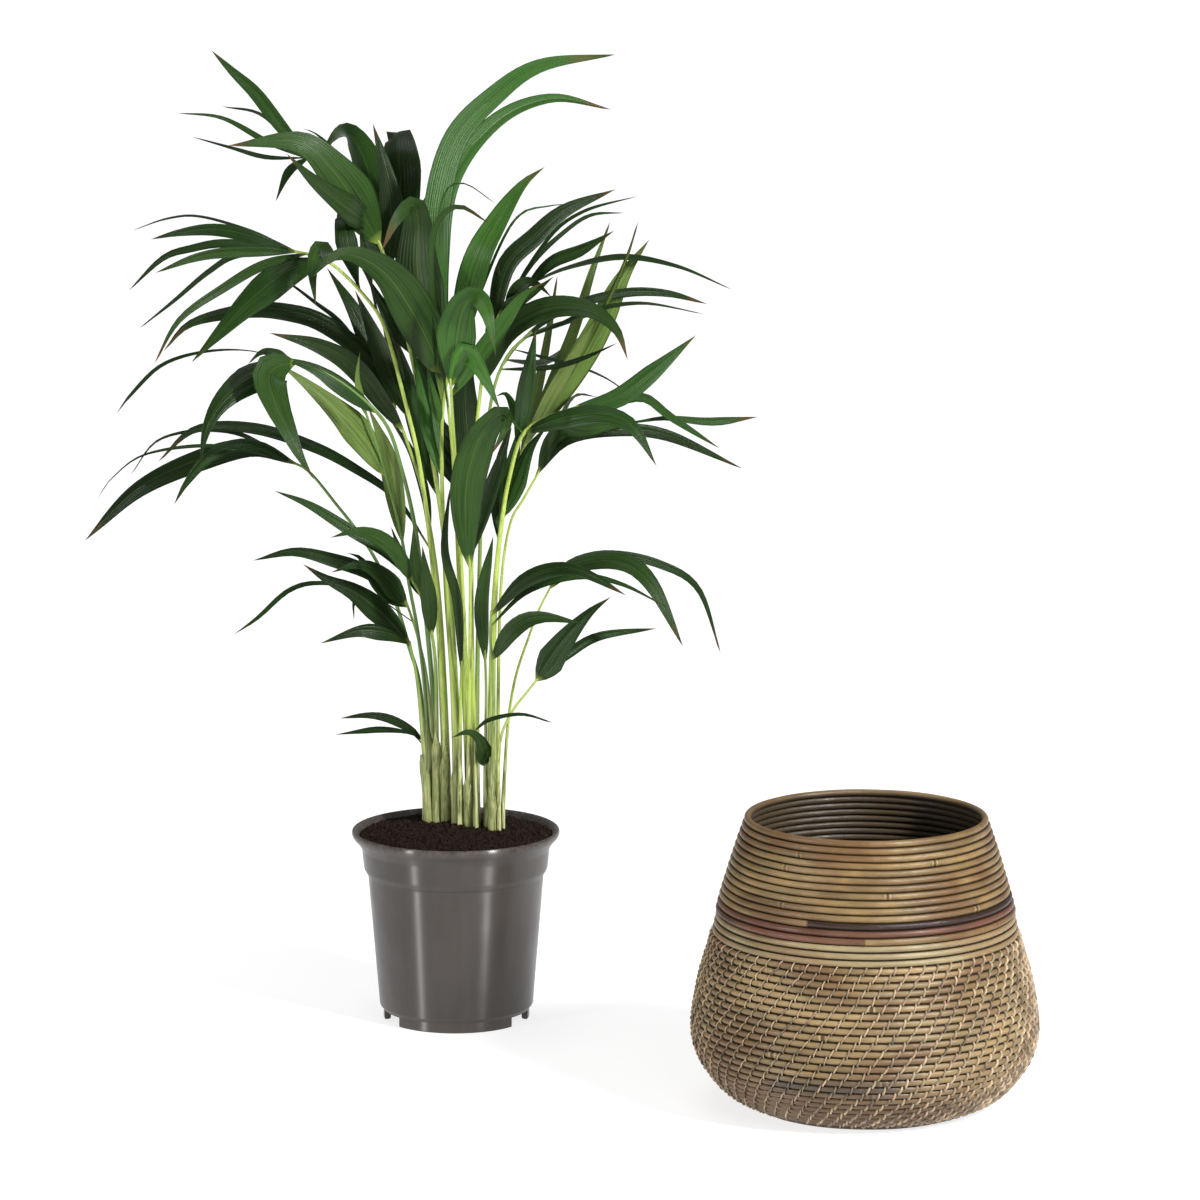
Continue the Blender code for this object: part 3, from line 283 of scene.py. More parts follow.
           leaf(8, 40, (98, 557), (150, 548, -14), (190, 552, -2), (230, 549, 6), (273, 553, 14), peak=0.8),
           leaf(15, -35, (88, 554), (112, 542, -40), (140, 545, -38), (162, 550, -36)))),
    Frond("frond_right_straw", "leaf_green", (38.5, 10), 2.0,
          ((39, 300, 10), (42, 400, 12), (50, 455, 14), (62, 478, 16), (79, 508, 17)),
          (leaf(12, 35, (78, 506), (100, 531, 20), (140, 541, 26), (190, 537, 38), (259, 506, 52)),
           leaf(15, 30, (76, 503), (92, 535, 8), (118, 541, 2), (150, 541, -6)),
           leaf(5, -60, (72, 496), (92, 545, 32), (108, 572, 44), (129, 571, 54)))),
    Frond("frond_right_arch", "leaf_green", (42.5, 2), 1.8,
          ((46, 250, 4), (50, 290, 5), (56, 320, 5), (66, 350, 5), (76, 377, 5), (88, 401, 5)),
          (leaf(8, 40, (88, 401), (103, 420, 14), (140, 428, 22), (185, 419, 30), (220, 396, 38),
                (240, 337, 44)),
           leaf(17, 25, (87, 399), (108, 417, -10), (148, 421, -24), (176, 401, -34), (206, 343, -42)))),
    Frond("frond_right_broad", "leaf_dark", (39, -6), 2.0,
          ((39, 235, -8), (42, 262, -11), (52, 284, -14), (64, 300, -16), (75, 314, -18)),
          (leaf(33, 20, (75, 313), (98, 348, -26), (121, 374, -32), (141, 389, -36)),
           leaf(9, 40, (74, 312), (100, 335, -8), (130, 353, 4), (182, 360, 20)))),
    Frond("frond_right_upright", "leaf_light", (31, 10), 2.7,
          ((32, 300, 14), (36, 400, 22), (45, 470, 30), (58, 512, 36), (70, 542, 40)),
          (leaf(25, 20, (67, 535), (93, 573, 46), (126, 627, 52), (151, 679, 58), (175, 713, 64)),
           leaf(11, 30, (61, 519), (82, 570, 58), (106, 628, 74), (124, 685, 90), (140, 729, 100)),
           leaf(7, 45, (69, 539), (102, 592, 30), (134, 650, 30), (154, 695, 32), (165, 729, 34)),
           leaf(13, -30, (64, 528), (92, 582, 22), (128, 642, 14)),
           leaf(9, 40, (59, 515), (73, 570, 66), (83, 620, 88), (93, 681, 108)))),
    Frond("frond_right_low", "leaf_green", (33, -8), 2.2,
          ((35, 300, -15), (32, 350, -23), (33, 376, -27)),
          (leaf(14, 35, (33, 374), (60, 403, -38), (90, 415, -50), (118, 411, -62), (155, 390, -72)),
           leaf(6, 50, (32, 362), (65, 394, -30), (110, 408, -38), (150, 401, -44), (192, 379, -48)),
           leaf(16, 35, (31, 332), (54, 358, -40), (78, 369, -50), (117, 364, -60)))),
    Frond("frond_right_small", "leaf_green", (27.5, 2), 2.1,
          ((27, 225, 0), (28, 300, 4), (27, 340, 4)),
          (leaf(13, 25, (27, 330), (24, 385, 1), (35, 445, -3)),
           leaf(19, 20, (27, 233), (23, 254, -12), (12, 264, -18), (-4, 259, -24)))),
)


# Leaflets further inside the crown, which grow from the same stalks.
MORE_LEAFLETS = {
    "frond_middle_back": (
        leaf(26, 15, (24, 450), (14, 520, 26), (10, 580, 28), (16, 640, 30)),
        leaf(24, 20, (2, 470), (-14, 530, 34), (-24, 590, 36), (-30, 650, 38)),
        leaf(20, -20, (0, 500), (-30, 560, 40), (-52, 610, 44), (-66, 660, 46)),
    ),
    "frond_right_bright": (
        leaf(16, 20, (57, 525), (62, 565, -30), (68, 600, -34), (74, 634, -38)),
        leaf(14, 30, (62, 538), (55, 560, -22), (47, 574, -16), (38, 572, -10)),
        leaf(18, 25, (44, 462), (56, 495, -20), (68, 525, -22), (84, 545, -26)),
        leaf(14, 25, (40, 440), (40, 480, -10), (44, 520, -8), (52, 548, -6)),
        leaf(18, 20, (44, 465), (50, 500, -14), (56, 530, -12), (62, 552, -10)),
    ),
    "frond_middle_crown": (
        leaf(18, 15, (-14, 480), (-28, 530, 30), (-42, 580, 32), (-50, 620, 34)),
        leaf(15, 20, (-38, 610), (-52, 635, 38), (-66, 660, 40), (-78, 682, 42)),
        leaf(20, -15, (-40, 640), (-62, 690, 46), (-82, 740, 50), (-98, 780, 54)),
        leaf(18, 15, (-42, 680), (-36, 710, 44), (-30, 735, 46), (-22, 756, 48)),
    ),
    "frond_middle_tall": (
        leaf(18, 20, (-11, 500), (-20, 545, 14), (-30, 590, 16), (-38, 618, 18)),
        leaf(10, 20, (-10, 545), (-18, 570, 4), (-24, 600, 2)),
    ),
    "frond_middle_fold": (
        leaf(20, -15, (-3, 588), (10, 612, -44), (22, 600, -50), (32, 580, -54), (42, 558, -56)),
    ),
    "frond_left_high": (
        leaf(24, 15, (-70, 648), (-76, 685, -4), (-81, 712, -6), (-83, 724, 0), peak=0.8),
        leaf(20, 20, (-40, 552), (-60, 600, 8), (-76, 640, 10), (-88, 668, 12)),
    ),
    "frond_left_light": (
        leaf(18, 20, (-47, 440), (-60, 515, 4), (-68, 540, 0), (-77, 562, -4)),
    ),
    "frond_middle_right": (
        leaf(15, -20, (44, 648), (60, 660, -4), (74, 668, -8), (90, 680, -12)),
        leaf(12, 20, (30, 615), (36, 645, 14), (41, 675, 18), (40, 690, 20)),
    ),
}


def smooth_curve(points, samples):
    """Points along a smooth curve through the given ones, the first and last included."""
    padded = [2 * points[0] - points[1], *points, 2 * points[-1] - points[-2]]
    found = []
    for a, b, c, d in zip(padded, padded[1:], padded[2:], padded[3:]):
        for step in range(samples):
            t = step / samples
            found.append(0.5 * (2 * b + (c - a) * t + (2 * a - 5 * b + 4 * c - d) * t ** 2
                                + (3 * b - a - 3 * c + d) * t ** 3))
    found.append(points[-1])
    return found


def lengths_along(points):
    """How far along the line each of its points lies."""
    runs = [0.0]
    for a, b in zip(points, points[1:]):
        runs.append(runs[-1] + (b - a).length)
    return runs


def evenly(points, count):
    """count + 1 points evenly spaced along a line of many points."""
    runs = lengths_along(points)
    places = np.linspace(0.0, runs[-1], count + 1)
    axes = [np.interp(places, runs, [point[axis] for point in points]) for axis in range(3)]
    return [Vector(place) for place in zip(*axes)]


def in_space(drawn):
    """The place in space of a drawn point (x, depth, height): depth moves it along its line of sight."""
    eye = Vector(DRAWN_FROM)
    flat = Vector((drawn.x, 0.0, drawn.z))
    return flat + (flat - eye) * (drawn.y / -eye.y)


def drawn_at(place):
    """The drawn point (x, depth, height) of a place in space, which undoes in_space."""
    eye = Vector(DRAWN_FROM)
    share = place.y / -eye.y
    flat = (place + eye * share) / (1 + share)
    return Vector((flat.x, place.y, flat.z))


def drawn_point(x, height, depth):
    return Vector((x, depth * DEPTH_STRETCH, height))


def leaflet_line(leaflet, places):
    """The places in space along a leaflet's rib, from the middle of the stalk to its tip."""
    x, height = leaflet.points[0]
    start = min(places, key=lambda point: (point.x - x) ** 2 + (point.z - height) ** 2)
    drawn = [start, *(drawn_point(*point) for point in leaflet.points[1:])]
    return [in_space(point) for point in smooth_curve(drawn, SAMPLES_PER_SPAN)]


def tangents(points):
    ends = [points[0], *points, points[-1]]
    return [(after - before).normalized() for before, after in zip(ends, ends[2:])]


def blade_width_share(share, peak):
    """The width of a lance-shaped blade at a share of its length, as a share of its greatest width."""
    power = math.log(0.5) / math.log(peak)
    return max(0.0, math.sin(math.pi * share ** power)) ** 0.85


def pot_inner_radius(height):
    """The radius of the pot's inner wall at a height."""
    radii, heights = zip(*POT_INSIDE)
    return float(np.interp(height, heights, radii))


def basket_centre():
    low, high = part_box("basket_base")
    return (low.x + high.x) / 2, (low.y + high.y) / 2


def basket_curve():
    """The line of the rods' middles from the base up, as (radius, height), with its length so far."""
    outer = [Vector((radius, 0.0, height)) for radius, height in BASKET_OUTLINE]
    outer = smooth_curve(outer, SAMPLES_PER_SPAN)
    line = []
    for point, along in zip(outer, tangents(outer)):
        outward = Vector((along.z, 0.0, -along.x))
        line.append(point - outward * ROD_THICK / 2)
    return line, lengths_along(line)


def basket_point(line, runs, share, out):
    """A point at a share of the rods' line, moved outwards from it."""
    place = share * runs[-1]
    at = Vector([float(np.interp(place, runs, [point[axis] for point in line])) for axis in range(3)])
    step = 0.01 * runs[-1]
    ahead = Vector([float(np.interp(place + step, runs, [p[axis] for p in line])) for axis in range(3)])
    behind = Vector([float(np.interp(place - step, runs, [p[axis] for p in line])) for axis in range(3)])
    along = (ahead - behind).normalized()
    return at + Vector((along.z, 0.0, -along.x)) * out


def stalk_line(frond):
    """The drawn line of a frond's stalk from the soil to its last leaflet."""
    x, y = frond.root
    foot = drawn_at(Vector((x, y, STALK_BOTTOM_Z)))
    collar = drawn_at(Vector((x, y, STALK_STRAIGHT_Z)))
    line = smooth_curve([foot, collar, *(drawn_point(*point) for point in frond.stalk)], SAMPLES_PER_SPAN)
    return [foot] + line[SAMPLES_PER_SPAN:]


def colour_setting(name, about, value):
    return FloatVectorProperty(name=name, description=about, default=value, subtype="COLOR", size=3,
                               min=0.0, max=1.0)


def number_setting(name, about, value, **limits):
    return FloatProperty(name=name, description=about, default=value, **limits)


def length_setting(name, about, value, least=0.0):
    return number_setting(name, about, value, unit="LENGTH", min=least)


def count_setting(name, about, value, least=0):
    return IntProperty(name=name, description=about, default=value, min=least)


class PotSettings(PropertyGroup):
    turn_steps: count_setting("Turn steps", "Faces round the pot", 144, 24)
    colour: colour_setting("Plastic", "Colour of the pot's plastic", (0.036, 0.029, 0.0245))
    gloss_roughness: number_setting("Roughness", "Roughness of the smooth pot wall", 0.34, min=0.0, max=1.0)


class SoilSettings(PropertyGroup):
    crumbs: count_setting("Crumbs", "Crumbs of peat lying on the soil", 5200)
    crumb_size: length_setting("Crumb size", "Radius of a middling crumb", 0.0016, 0.0002)
    lumps: length_setting("Lumps", "Height of the lumps on the soil", 0.0022)
    colour: colour_setting("Soil", "Colour of the damp soil", (0.0075, 0.0048, 0.0032))


class PalmSettings(PropertyGroup):
    blade_cells: count_setting("Cells across", "Faces across a leaflet", 8, 2)
    blade_step: length_setting("Blade step", "Length of one face along a leaflet", 0.009, 0.002)
    blade_thick: length_setting("Blade thickness", "Thickness of a leaflet at its rib", 0.0008, 0.0002)
    pleat: length_setting("Pleat", "Depth of the pleats along a broad leaflet", 0.0008)
    foot_swell: number_setting("Foot swell", "How much thicker a stalk is at the soil", 0.45, min=0.0)
    dark_colour: colour_setting("Dark leaf", "Colour of an old leaf in shade", (0.006, 0.018, 0.003))
    green_colour: colour_setting("Green leaf", "Colour of a grown leaf", (0.042, 0.150, 0.016))
    light_colour: colour_setting("Light leaf", "Colour of a leaf's underside", (0.080, 0.145, 0.036))
    stalk_colour: colour_setting("Stalk", "Colour of the stalks half way up", (0.390, 0.500, 0.085))
    straw_colour: colour_setting("Straw", "Colour of the dry sheaths at the foot", (0.400, 0.400, 0.170))


class BasketSettings(PropertyGroup):
    rod_thick: length_setting("Rod thickness", "Thickness of the cane rods", 0.0060, 0.002)
    rod_wander: length_setting("Rod wander", "How far the rods wander off true", 0.0010)
    stitches: count_setting("Stitches", "Lashing stitches in one round", 66, 8)
    stitch_width: length_setting("Stitch width", "Width of the split cane lashing", 0.0026, 0.0005)
    row_shift: number_setting("Row shift", "Sideways step of each row, as a share of a stitch", 0.36)
    pinch: number_setting("Pinch", "How much a stitch draws the rod in", 0.14, min=0.0, max=0.5)
    stitch_slant: number_setting("Stitch slant", "Sideways run of a stitch for its height", 0.45)
    cane_colour: colour_setting("Cane", "Colour of the natural cane", (0.210, 0.136, 0.052))
    dark_colour: colour_setting("Dark cane", "Colour of the dark band", (0.048, 0.015, 0.010))
    stitch_colour: colour_setting("Lashing", "Colour of the pale lashing", (0.400, 0.300, 0.190))


class StageSettings(PropertyGroup):
    lens: number_setting("Lens", "Focal length of the camera in mm", 180.0)
    key_power: number_setting("Key light", "Power of the main softbox", 40.0, unit="POWER")
    backdrop: colour_setting("Backdrop", "Colour of the floor and the air", (0.45, 0.45, 0.45))


class Graph:
    """A node tree, with short ways to add what this file needs to it."""

    def __init__(self, tree):
        self.tree = tree

    def feed(self, target, value):
        """Set an input to a value, or link it to a socket or to the first of a node's outputs."""
        if isinstance(value, bpy.types.bpy_prop_collection):
            value = value[0]
        if isinstance(value, bpy.types.NodeSocket):
            self.tree.links.new(value, target)
        elif target.type == "RGBA":
            target.default_value = (*value[:3], 1.0)
        else:
            target.default_value = value

    def node(self, kind, inputs=None, **settings):
        """The outputs of a new node with these settings and inputs."""
        node = self.tree.nodes.new(kind)
        for name, value in settings.items():
            setattr(node, name, value)
        for key, value in (inputs or {}).items():
            self.feed(node.inputs[key], value)
        return node.outputs

    def maths(self, operation, first, second=0.0):
        return self.node("ShaderNodeMath", {0: first, 1: second}, operation=operation)[0]

    def times(self, first, second):
        return self.maths("MULTIPLY", first, second)

    def plus(self, first, second):
        return self.maths("ADD", first, second)

    def minus(self, first, second):
        return self.maths("SUBTRACT", first, second)

    def gap(self, first, second):
        """How far apart two values are."""
        return self.maths("ABSOLUTE", self.minus(first, second))

    def vector(self, x=0.0, y=0.0, z=0.0):
        return self.node("ShaderNodeCombineXYZ", {0: x, 1: y, 2: z})[0]

    def axes(self, vector):
        return self.node("ShaderNodeSeparateXYZ", {0: vector})

    def vector_maths(self, operation, first, second=(0.0, 0.0, 0.0)):
        key = 3 if operation == "SCALE" else 1
        return self.node("ShaderNodeVectorMath", {0: first, key: second}, operation=operation)


class Look(Graph):
    """A material being made, and the tone painted on it so far."""

    def __init__(self, name, roughness, tone, specular=0.5):
        self.material = bpy.data.materials.new(name)
        self.material.use_nodes = True
        super().__init__(self.material.node_tree)
        self.tone = tone
        self.place = self.stretched_place((1.0, 1.0, 1.0))
        self.give("Roughness", roughness)
        self.give("Specular IOR Level", specular)

    def give(self, name, value):
        """Set or link one input of the shader."""
        self.feed(self.tree.nodes["Principled BSDF"].inputs[name], value)

    def stretched_place(self, scale):
        source = self.node("ShaderNodeTexCoord")["Object"]
        return self.node("ShaderNodeMapping", {"Vector": source, "Scale": scale})[0]

    def noise(self, scale, detail=3.0, rough=0.55, stretch=None, at=None):
        """Noise over the object's own coordinates, over these stretched, or over another vector."""
        if at is None:
            at = self.stretched_place(stretch) if stretch else self.place
        inputs = {"Vector": at, "Scale": scale, "Detail": detail, "Roughness": rough}
        return self.node("ShaderNodeTexNoise", inputs)[0]

    def spread(self, value, low, high, new_low=0.0, new_high=1.0):
        """The value's range from low to high, spread over the new range and held inside it."""
        return self.node("ShaderNodeMapRange", {0: value, 1: low, 2: high, 3: new_low, 4: new_high})[0]

    def mix(self, share, first, second):
        return self.node("ShaderNodeMix", {0: share, 6: first, 7: second}, data_type="RGBA")[2]

    def paint(self, colour, share, low=None, high=None, most=1.0):
        """Blend a colour over the tone by a share. With low and high, the share is a value that gives
        nothing at low and the most at high."""
        if low is not None:
            share = self.spread(share, low, high, 0.0, most)
        self.tone = self.mix(share, self.tone, colour)

    def finish(self, height=None, depth=0.0):
        """The material, coloured by its tone and raised by a height."""
        self.give("Base Color", self.tone)
        if height is not None:
            self.give("Normal", self.node("ShaderNodeBump", {"Height": height, "Distance": depth}))
        return self.material


def pot_plastic(settings):
    """Moulded taupe plastic: smooth wall, faint flow marks, dust and scuffs near the foot and the lip, and a
    thin line of painted shade in the crease under the collar.
    """
    look = Look("pot_plastic", settings.gloss_roughness, settings.colour * 0.9, 0.72)
    dust = look.noise(38.0, 5.0)
    height = look.axes(look.place)[2]
    foot = look.spread(height, 0.016, 0.0, 0.0, 0.30)
    lip = look.spread(height, 0.166, 0.174, 0.0, 0.7)
    dirt = look.times(look.spread(look.noise(260.0, 4.0), 0.42, 0.58), lip)
    look.paint(settings.colour * 1.12, look.noise(3.0, 4.0, stretch=(30.0, 30.0, 3.0)), 0.35, 0.65)
    look.paint(settings.colour * 2.6,
               look.plus(look.spread(dust, 0.55, 0.80, 0.0, 0.18), look.plus(foot, dirt)))
    # Painted shade: a thin dark line in the crease under the collar.
    look.paint(settings.colour * 0.25, look.gap(height, POT_CREASE_SHADE_Z * MM), 0.0009, 0.0004, 0.65)
    look.give("Roughness", look.plus(look.spread(dust, 0.3, 0.8, -0.03, 0.06), settings.gloss_roughness))
    look.give("Anisotropic", 1.0)
    look.give("Anisotropic Rotation", 0.25)
    look.give("Tangent", look.node("ShaderNodeTangent", direction_type="RADIAL", axis="Z"))
    return look.finish(look.noise(900.0, 2.0), 0.00002)


def soil_material(settings, name="soil", pale=1.0):
    """Dark peat with lighter fibres in it."""
    look = Look(name, 0.95, settings.colour * (0.5 * pale), 0.15)
    clumps = look.noise(220.0, 6.0, 0.7)
    fibres = look.noise(1.0, 4.0, 0.7, (900.0, 250.0, 600.0))
    look.paint(settings.colour * (3.2 * pale), clumps, 0.35, 0.70)
    look.paint(PEAT_FIBRE, fibres, 0.60, 0.68)
    return look.finish(look.plus(clumps, fibres), 0.0016)


def leaf_marks(look):
    """What the leaf attribute says: underside, shade, place along the blade and place across it."""
    marks = look.node("ShaderNodeAttribute", attribute_name="leaf")
    return *look.node("ShaderNodeSeparateColor", {0: marks["Color"]}), marks["Alpha"]


def leaf_material(settings, name, base_share, light_share, pale=0.0):
    """A palm leaflet: fine veins along it, a pale rib, a lighter underside, a dry tip."""
    look = Look(name, 0.40, settings.dark_colour * base_share, 0.17)
    under, shade, along, across = leaf_marks(look)
    patches = look.noise(26.0)
    look.paint(settings.green_colour * base_share, shade)
    look.paint(settings.light_colour * (0.65 * base_share), patches, 0.40, 0.72, 0.10)
    look.paint(settings.light_colour, look.times(under, light_share))
    if pale:
        look.paint(YELLOWED_LEAF, pale)
    ribs = look.maths("SINE", look.times(across, 82.0))
    strokes = look.noise(1.0, at=look.vector(look.times(across, 14.0), look.times(along, 2.5),
                                             look.times(shade, 37.0)))
    look.paint(settings.dark_colour * (0.8 * base_share), strokes, 0.50, 0.30, 0.55)
    veins = look.plus(ribs, look.spread(strokes, 0.3, 0.7, -0.8, 0.8))
    look.paint(settings.light_colour * 0.9, veins, 0.0, 1.6, 0.11)
    off_rib = look.gap(across, 0.5)
    look.paint(settings.stalk_colour, off_rib, 0.020, 0.006, 0.07)
    look.paint(settings.stalk_colour, along, 0.06, 0.0, 0.6)
    look.paint(settings.dark_colour * 0.7, off_rib, 0.44, 0.50, 0.45)
    look.paint(DRY_TIP, look.times(look.spread(along, 0.88, 0.98), look.spread(patches, 0.42, 0.55)))
    look.give("Roughness", look.spread(look.noise(240.0), 0.3, 0.7, 0.30, 0.42))
    return look.finish(ribs, 0.00007)


def stalk_material(settings):
    """A stalk: pale straw at its foot, yellow-green half way, greener towards its leaflets."""
    look = Look("stalk", 0.42, SHADED_STALK)
    shade, along = leaf_marks(look)[1:3]
    height = look.axes(look.place)[2]
    streaks = look.noise(1.0, 3.0, 0.6, (560.0, 560.0, 11.0))
    blotches = look.noise(1.0, stretch=(60.0, 60.0, 18.0))
    look.paint(settings.stalk_colour, shade)
    look.paint(UPPER_STALK, along, 0.70, 1.0, 0.35)
    blotched_height = look.plus(height, look.spread(blotches, 0.2, 0.8, -0.05, 0.05))
    look.paint(settings.straw_colour, blotched_height, 0.300, 0.205, 0.85)
    look.paint(STALK_STREAK, streaks, 0.50, 0.70, 0.55)
    low = look.spread(height, 0.275, 0.200)
    look.paint(OLIVE_STREAK, look.times(low, look.spread(streaks, 0.50, 0.58, 0.0, 0.85)))
    look.paint(PALE_STREAK, look.times(low, look.spread(streaks, 0.46, 0.34)))
    scars = look.times(look.spread(blotches, 0.58, 0.66), look.spread(height, 0.24, 0.19))
    look.paint(STALK_SCAR, look.times(scars, 0.8))
    return look.finish(streaks, 0.0004)


def straw_material(settings):
    """The papery fibres of an old leaf sheath."""
    look = Look("straw", 0.7, SHEATH_GREEN)
    fibres = look.noise(1.0, 5.0, 0.7, (700.0, 700.0, 22.0))
    look.paint(settings.straw_colour * 1.15, fibres, 0.35, 0.65)
    look.paint(SHEATH_STAIN, look.noise(60.0, 4.0), 0.54, 0.70, 0.50)
    return look.finish(fibres, 0.0008)


def cane_material(settings, name, colour, pale_from=0.0, band_from=0):
    """Cane rods: each with its own tone, streaks along it, and dark joints here and there, with painted
    shade in the grooves between the rods, on the basket's inner side and towards the bottom.
    """
    look = Look(name, 0.45, colour * 0.66, 0.42)
    middle_x, middle_y = basket_centre()
    x, y, height = look.axes(look.place)
    off_x, front = look.minus(x, middle_x), look.minus(middle_y, y)
    turn = look.maths("ARCTAN2", off_x, front)
    rod = look.node("ShaderNodeAttribute", attribute_name="rod")["Fac"]
    chance = look.maths("FRACT", look.times(look.maths("SINE", look.times(rod, 12.9898)), 437.585))
    rod_tone = look.noise(1.3, 2.0, at=look.vector(look.times(turn, 1.1), look.times(rod, 7.31)))
    grain = look.noise(1.6, 5.0, 0.65, at=look.vector(look.times(turn, 7.0), look.times(rod, 3.7),
                                                      look.times(height, 420.0)))
    red = Color((colour[0] * 0.80, colour[1] * 0.58, colour[2] * 0.50))
    look.paint(colour * 1.40, rod_tone, 0.32, 0.68)
    look.paint(red, look.noise(19.0, 4.0), 0.54, 0.70, 0.7)
    look.paint(colour * 0.42, grain, 0.44, 0.74, 0.6)
    look.paint(GREYED_CANE, look.noise(14.0), 0.48, 0.70, 0.3)
    off_joint = look.gap(look.maths("FRACT", look.plus(look.times(turn, 0.32), chance)), 0.5)
    look.paint(colour * 0.35, look.times(look.spread(off_joint, 0.034, 0.0, 0.0, 0.9),
                                         look.spread(grain, 0.35, 0.6)))
    look.paint(colour * 1.7, off_joint, 0.0085, 0.0070)
    look.paint(CANE_JOINT, off_joint, 0.0048, 0.0028, 0.95)
    zones = look.noise(10.0, 2.0, stretch=(1.0, 1.0, 2.2))
    look.paint(red * 0.75, zones, 0.52, 0.42, 0.70)
    look.paint(colour * 1.55, zones, 0.56, 0.66, 0.7)
    # Painted shade: the canes turn darker and redder towards the bottom of the basket.
    look.paint(red * 0.5, height, 0.085, 0.012, 0.70)
    if pale_from:
        darker, look.tone = look.tone, PALE_CANE
        look.paint(PALEST_CANE, rod_tone, 0.3, 0.7)
        look.paint(PALE_CANE_GRAIN, grain, 0.46, 0.72, 0.5)
        look.paint(red * 1.1, zones, 0.52, 0.42, 0.45)
        look.tone = look.mix(look.maths("GREATER_THAN", rod, pale_from), darker, look.tone)
        streak = look.times(look.spread(look.gap(rod, 9.0), 1.6, 0.4),
                            look.spread(look.gap(turn, -0.22), 0.50, 0.34))
        look.paint(BELLY_STREAK, look.times(streak, 0.8))
    if band_from:
        lowest = look.times(look.maths("COMPARE", rod, float(band_from)),
                            look.spread(turn, -0.04, -0.05, 0.12, 0.80))
        middle = look.times(look.maths("COMPARE", rod, band_from + 1.0), 0.86)
        top = look.times(look.maths("GREATER_THAN", rod, band_from + 1.5),
                         look.spread(turn, -0.46, -0.44, 0.0, 0.97))
        brown = look.mix(look.spread(rod_tone, 0.35, 0.65), settings.dark_colour,
                         settings.dark_colour * 2.6)
        look.paint(brown, look.plus(middle, lowest))
        look.paint(settings.dark_colour * 0.35, top)
    outward = look.vector_maths("NORMALIZE", look.vector(off_x, look.times(front, -1.0)))
    facing = look.node("ShaderNodeNewGeometry")["Normal"]
    outside = look.vector_maths("DOT_PRODUCT", facing, outward)["Value"]
    # Painted shade in the grooves where the rods touch, everywhere below the top of the rim.
    look.paint(PAINTED_GROOVE_SHADE, look.times(look.spread(outside, 0.62, 0.20, 0.0, 0.88),
                                       look.spread(height, 0.2520, 0.2490)))
    # Painted shade on the inner side of the basket's wall.
    look.paint(PAINTED_INSIDE_SHADE, outside, 0.05, -0.60, 0.40)
    look.give("Roughness", look.spread(grain, 0.3, 0.7, 0.30, 0.50))
    return look.finish(grain, 0.0005)


def lashing_material(settings):
    """Split cane lashing, pale and a little uneven from stitch to stitch."""
    look = Look("lashing", 0.5, settings.stitch_colour * 0.26)
    look.paint(settings.stitch_colour * 1.20, look.noise(70.0, 4.0), 0.35, 0.65)
    return look.finish(look.noise(900.0), 0.0003)


def new_object(name, mesh):
    made = bpy.data.objects.new(name, mesh)
    bpy.context.scene.collection.objects.link(made)
    return made


def place_piece(made, slot, *replaced):
    """The finished piece rides on the one body, and the solids it stands for are hidden."""
    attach(made, BODY)
    if replaced:
        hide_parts(*replaced)
    return made


def mesh_from(bm, name):
    mesh = bpy.data.meshes.new(name)
    bm.to_mesh(mesh)
    bm.free()
    return mesh


def listed_mesh(name, vertices, faces=()):
    """A mesh from lists of places in metres and of faces."""
    mesh = bpy.data.meshes.new(name)
    mesh.from_pydata(vertices, [], faces)
    return mesh


def turned_mesh(name, outline, steps):
    """A closed mesh turned about the Z axis from a half outline of (radius, height) in metres."""
    bm = bmesh.new()
    points = [bm.verts.new((radius, 0.0, height)) for radius, height in outline]
    edges = [bm.edges.new(pair) for pair in zip(points, points[1:])]
    bmesh.ops.spin(bm, geom=points + edges, cent=(0, 0, 0), axis=(0, 0, 1), angle=2 * math.pi,
                   steps=steps, use_merge=True)
    bmesh.ops.remove_doubles(bm, verts=bm.verts, dist=1e-6)
    bmesh.ops.recalc_face_normals(bm, faces=bm.faces)
    return mesh_from(bm, name)


def rounded(outline, radius, cuts=3):
    """A half outline in millimetres with its inner corners rounded, in metres."""
    points = [Vector(point) for point in outline]
    found = [points[0]]
    for before, here, after in zip(points, points[1:], points[2:]):
        to_before, to_after = before - here, after - here
        reach = min(radius, to_before.length * 0.45, to_after.length * 0.45)
        first = here + to_before.normalized() * reach
        last = here + to_after.normalized() * reach
        for cut in range(cuts + 1):
            t = cut / cuts
            found.append(first.lerp(here, t).lerp(here.lerp(last, t), t))
    found.append(points[-1])
    return [(point.x * MM, point.y * MM) for point in found]


def plain_mesh(made):
    """The object's mesh with its modifiers worked in, and the modifiers gone."""
    graph = bpy.context.evaluated_depsgraph_get()
    result = bpy.data.meshes.new_from_object(made.evaluated_get(graph))
    made.modifiers.clear()
    made.data = result
    return made


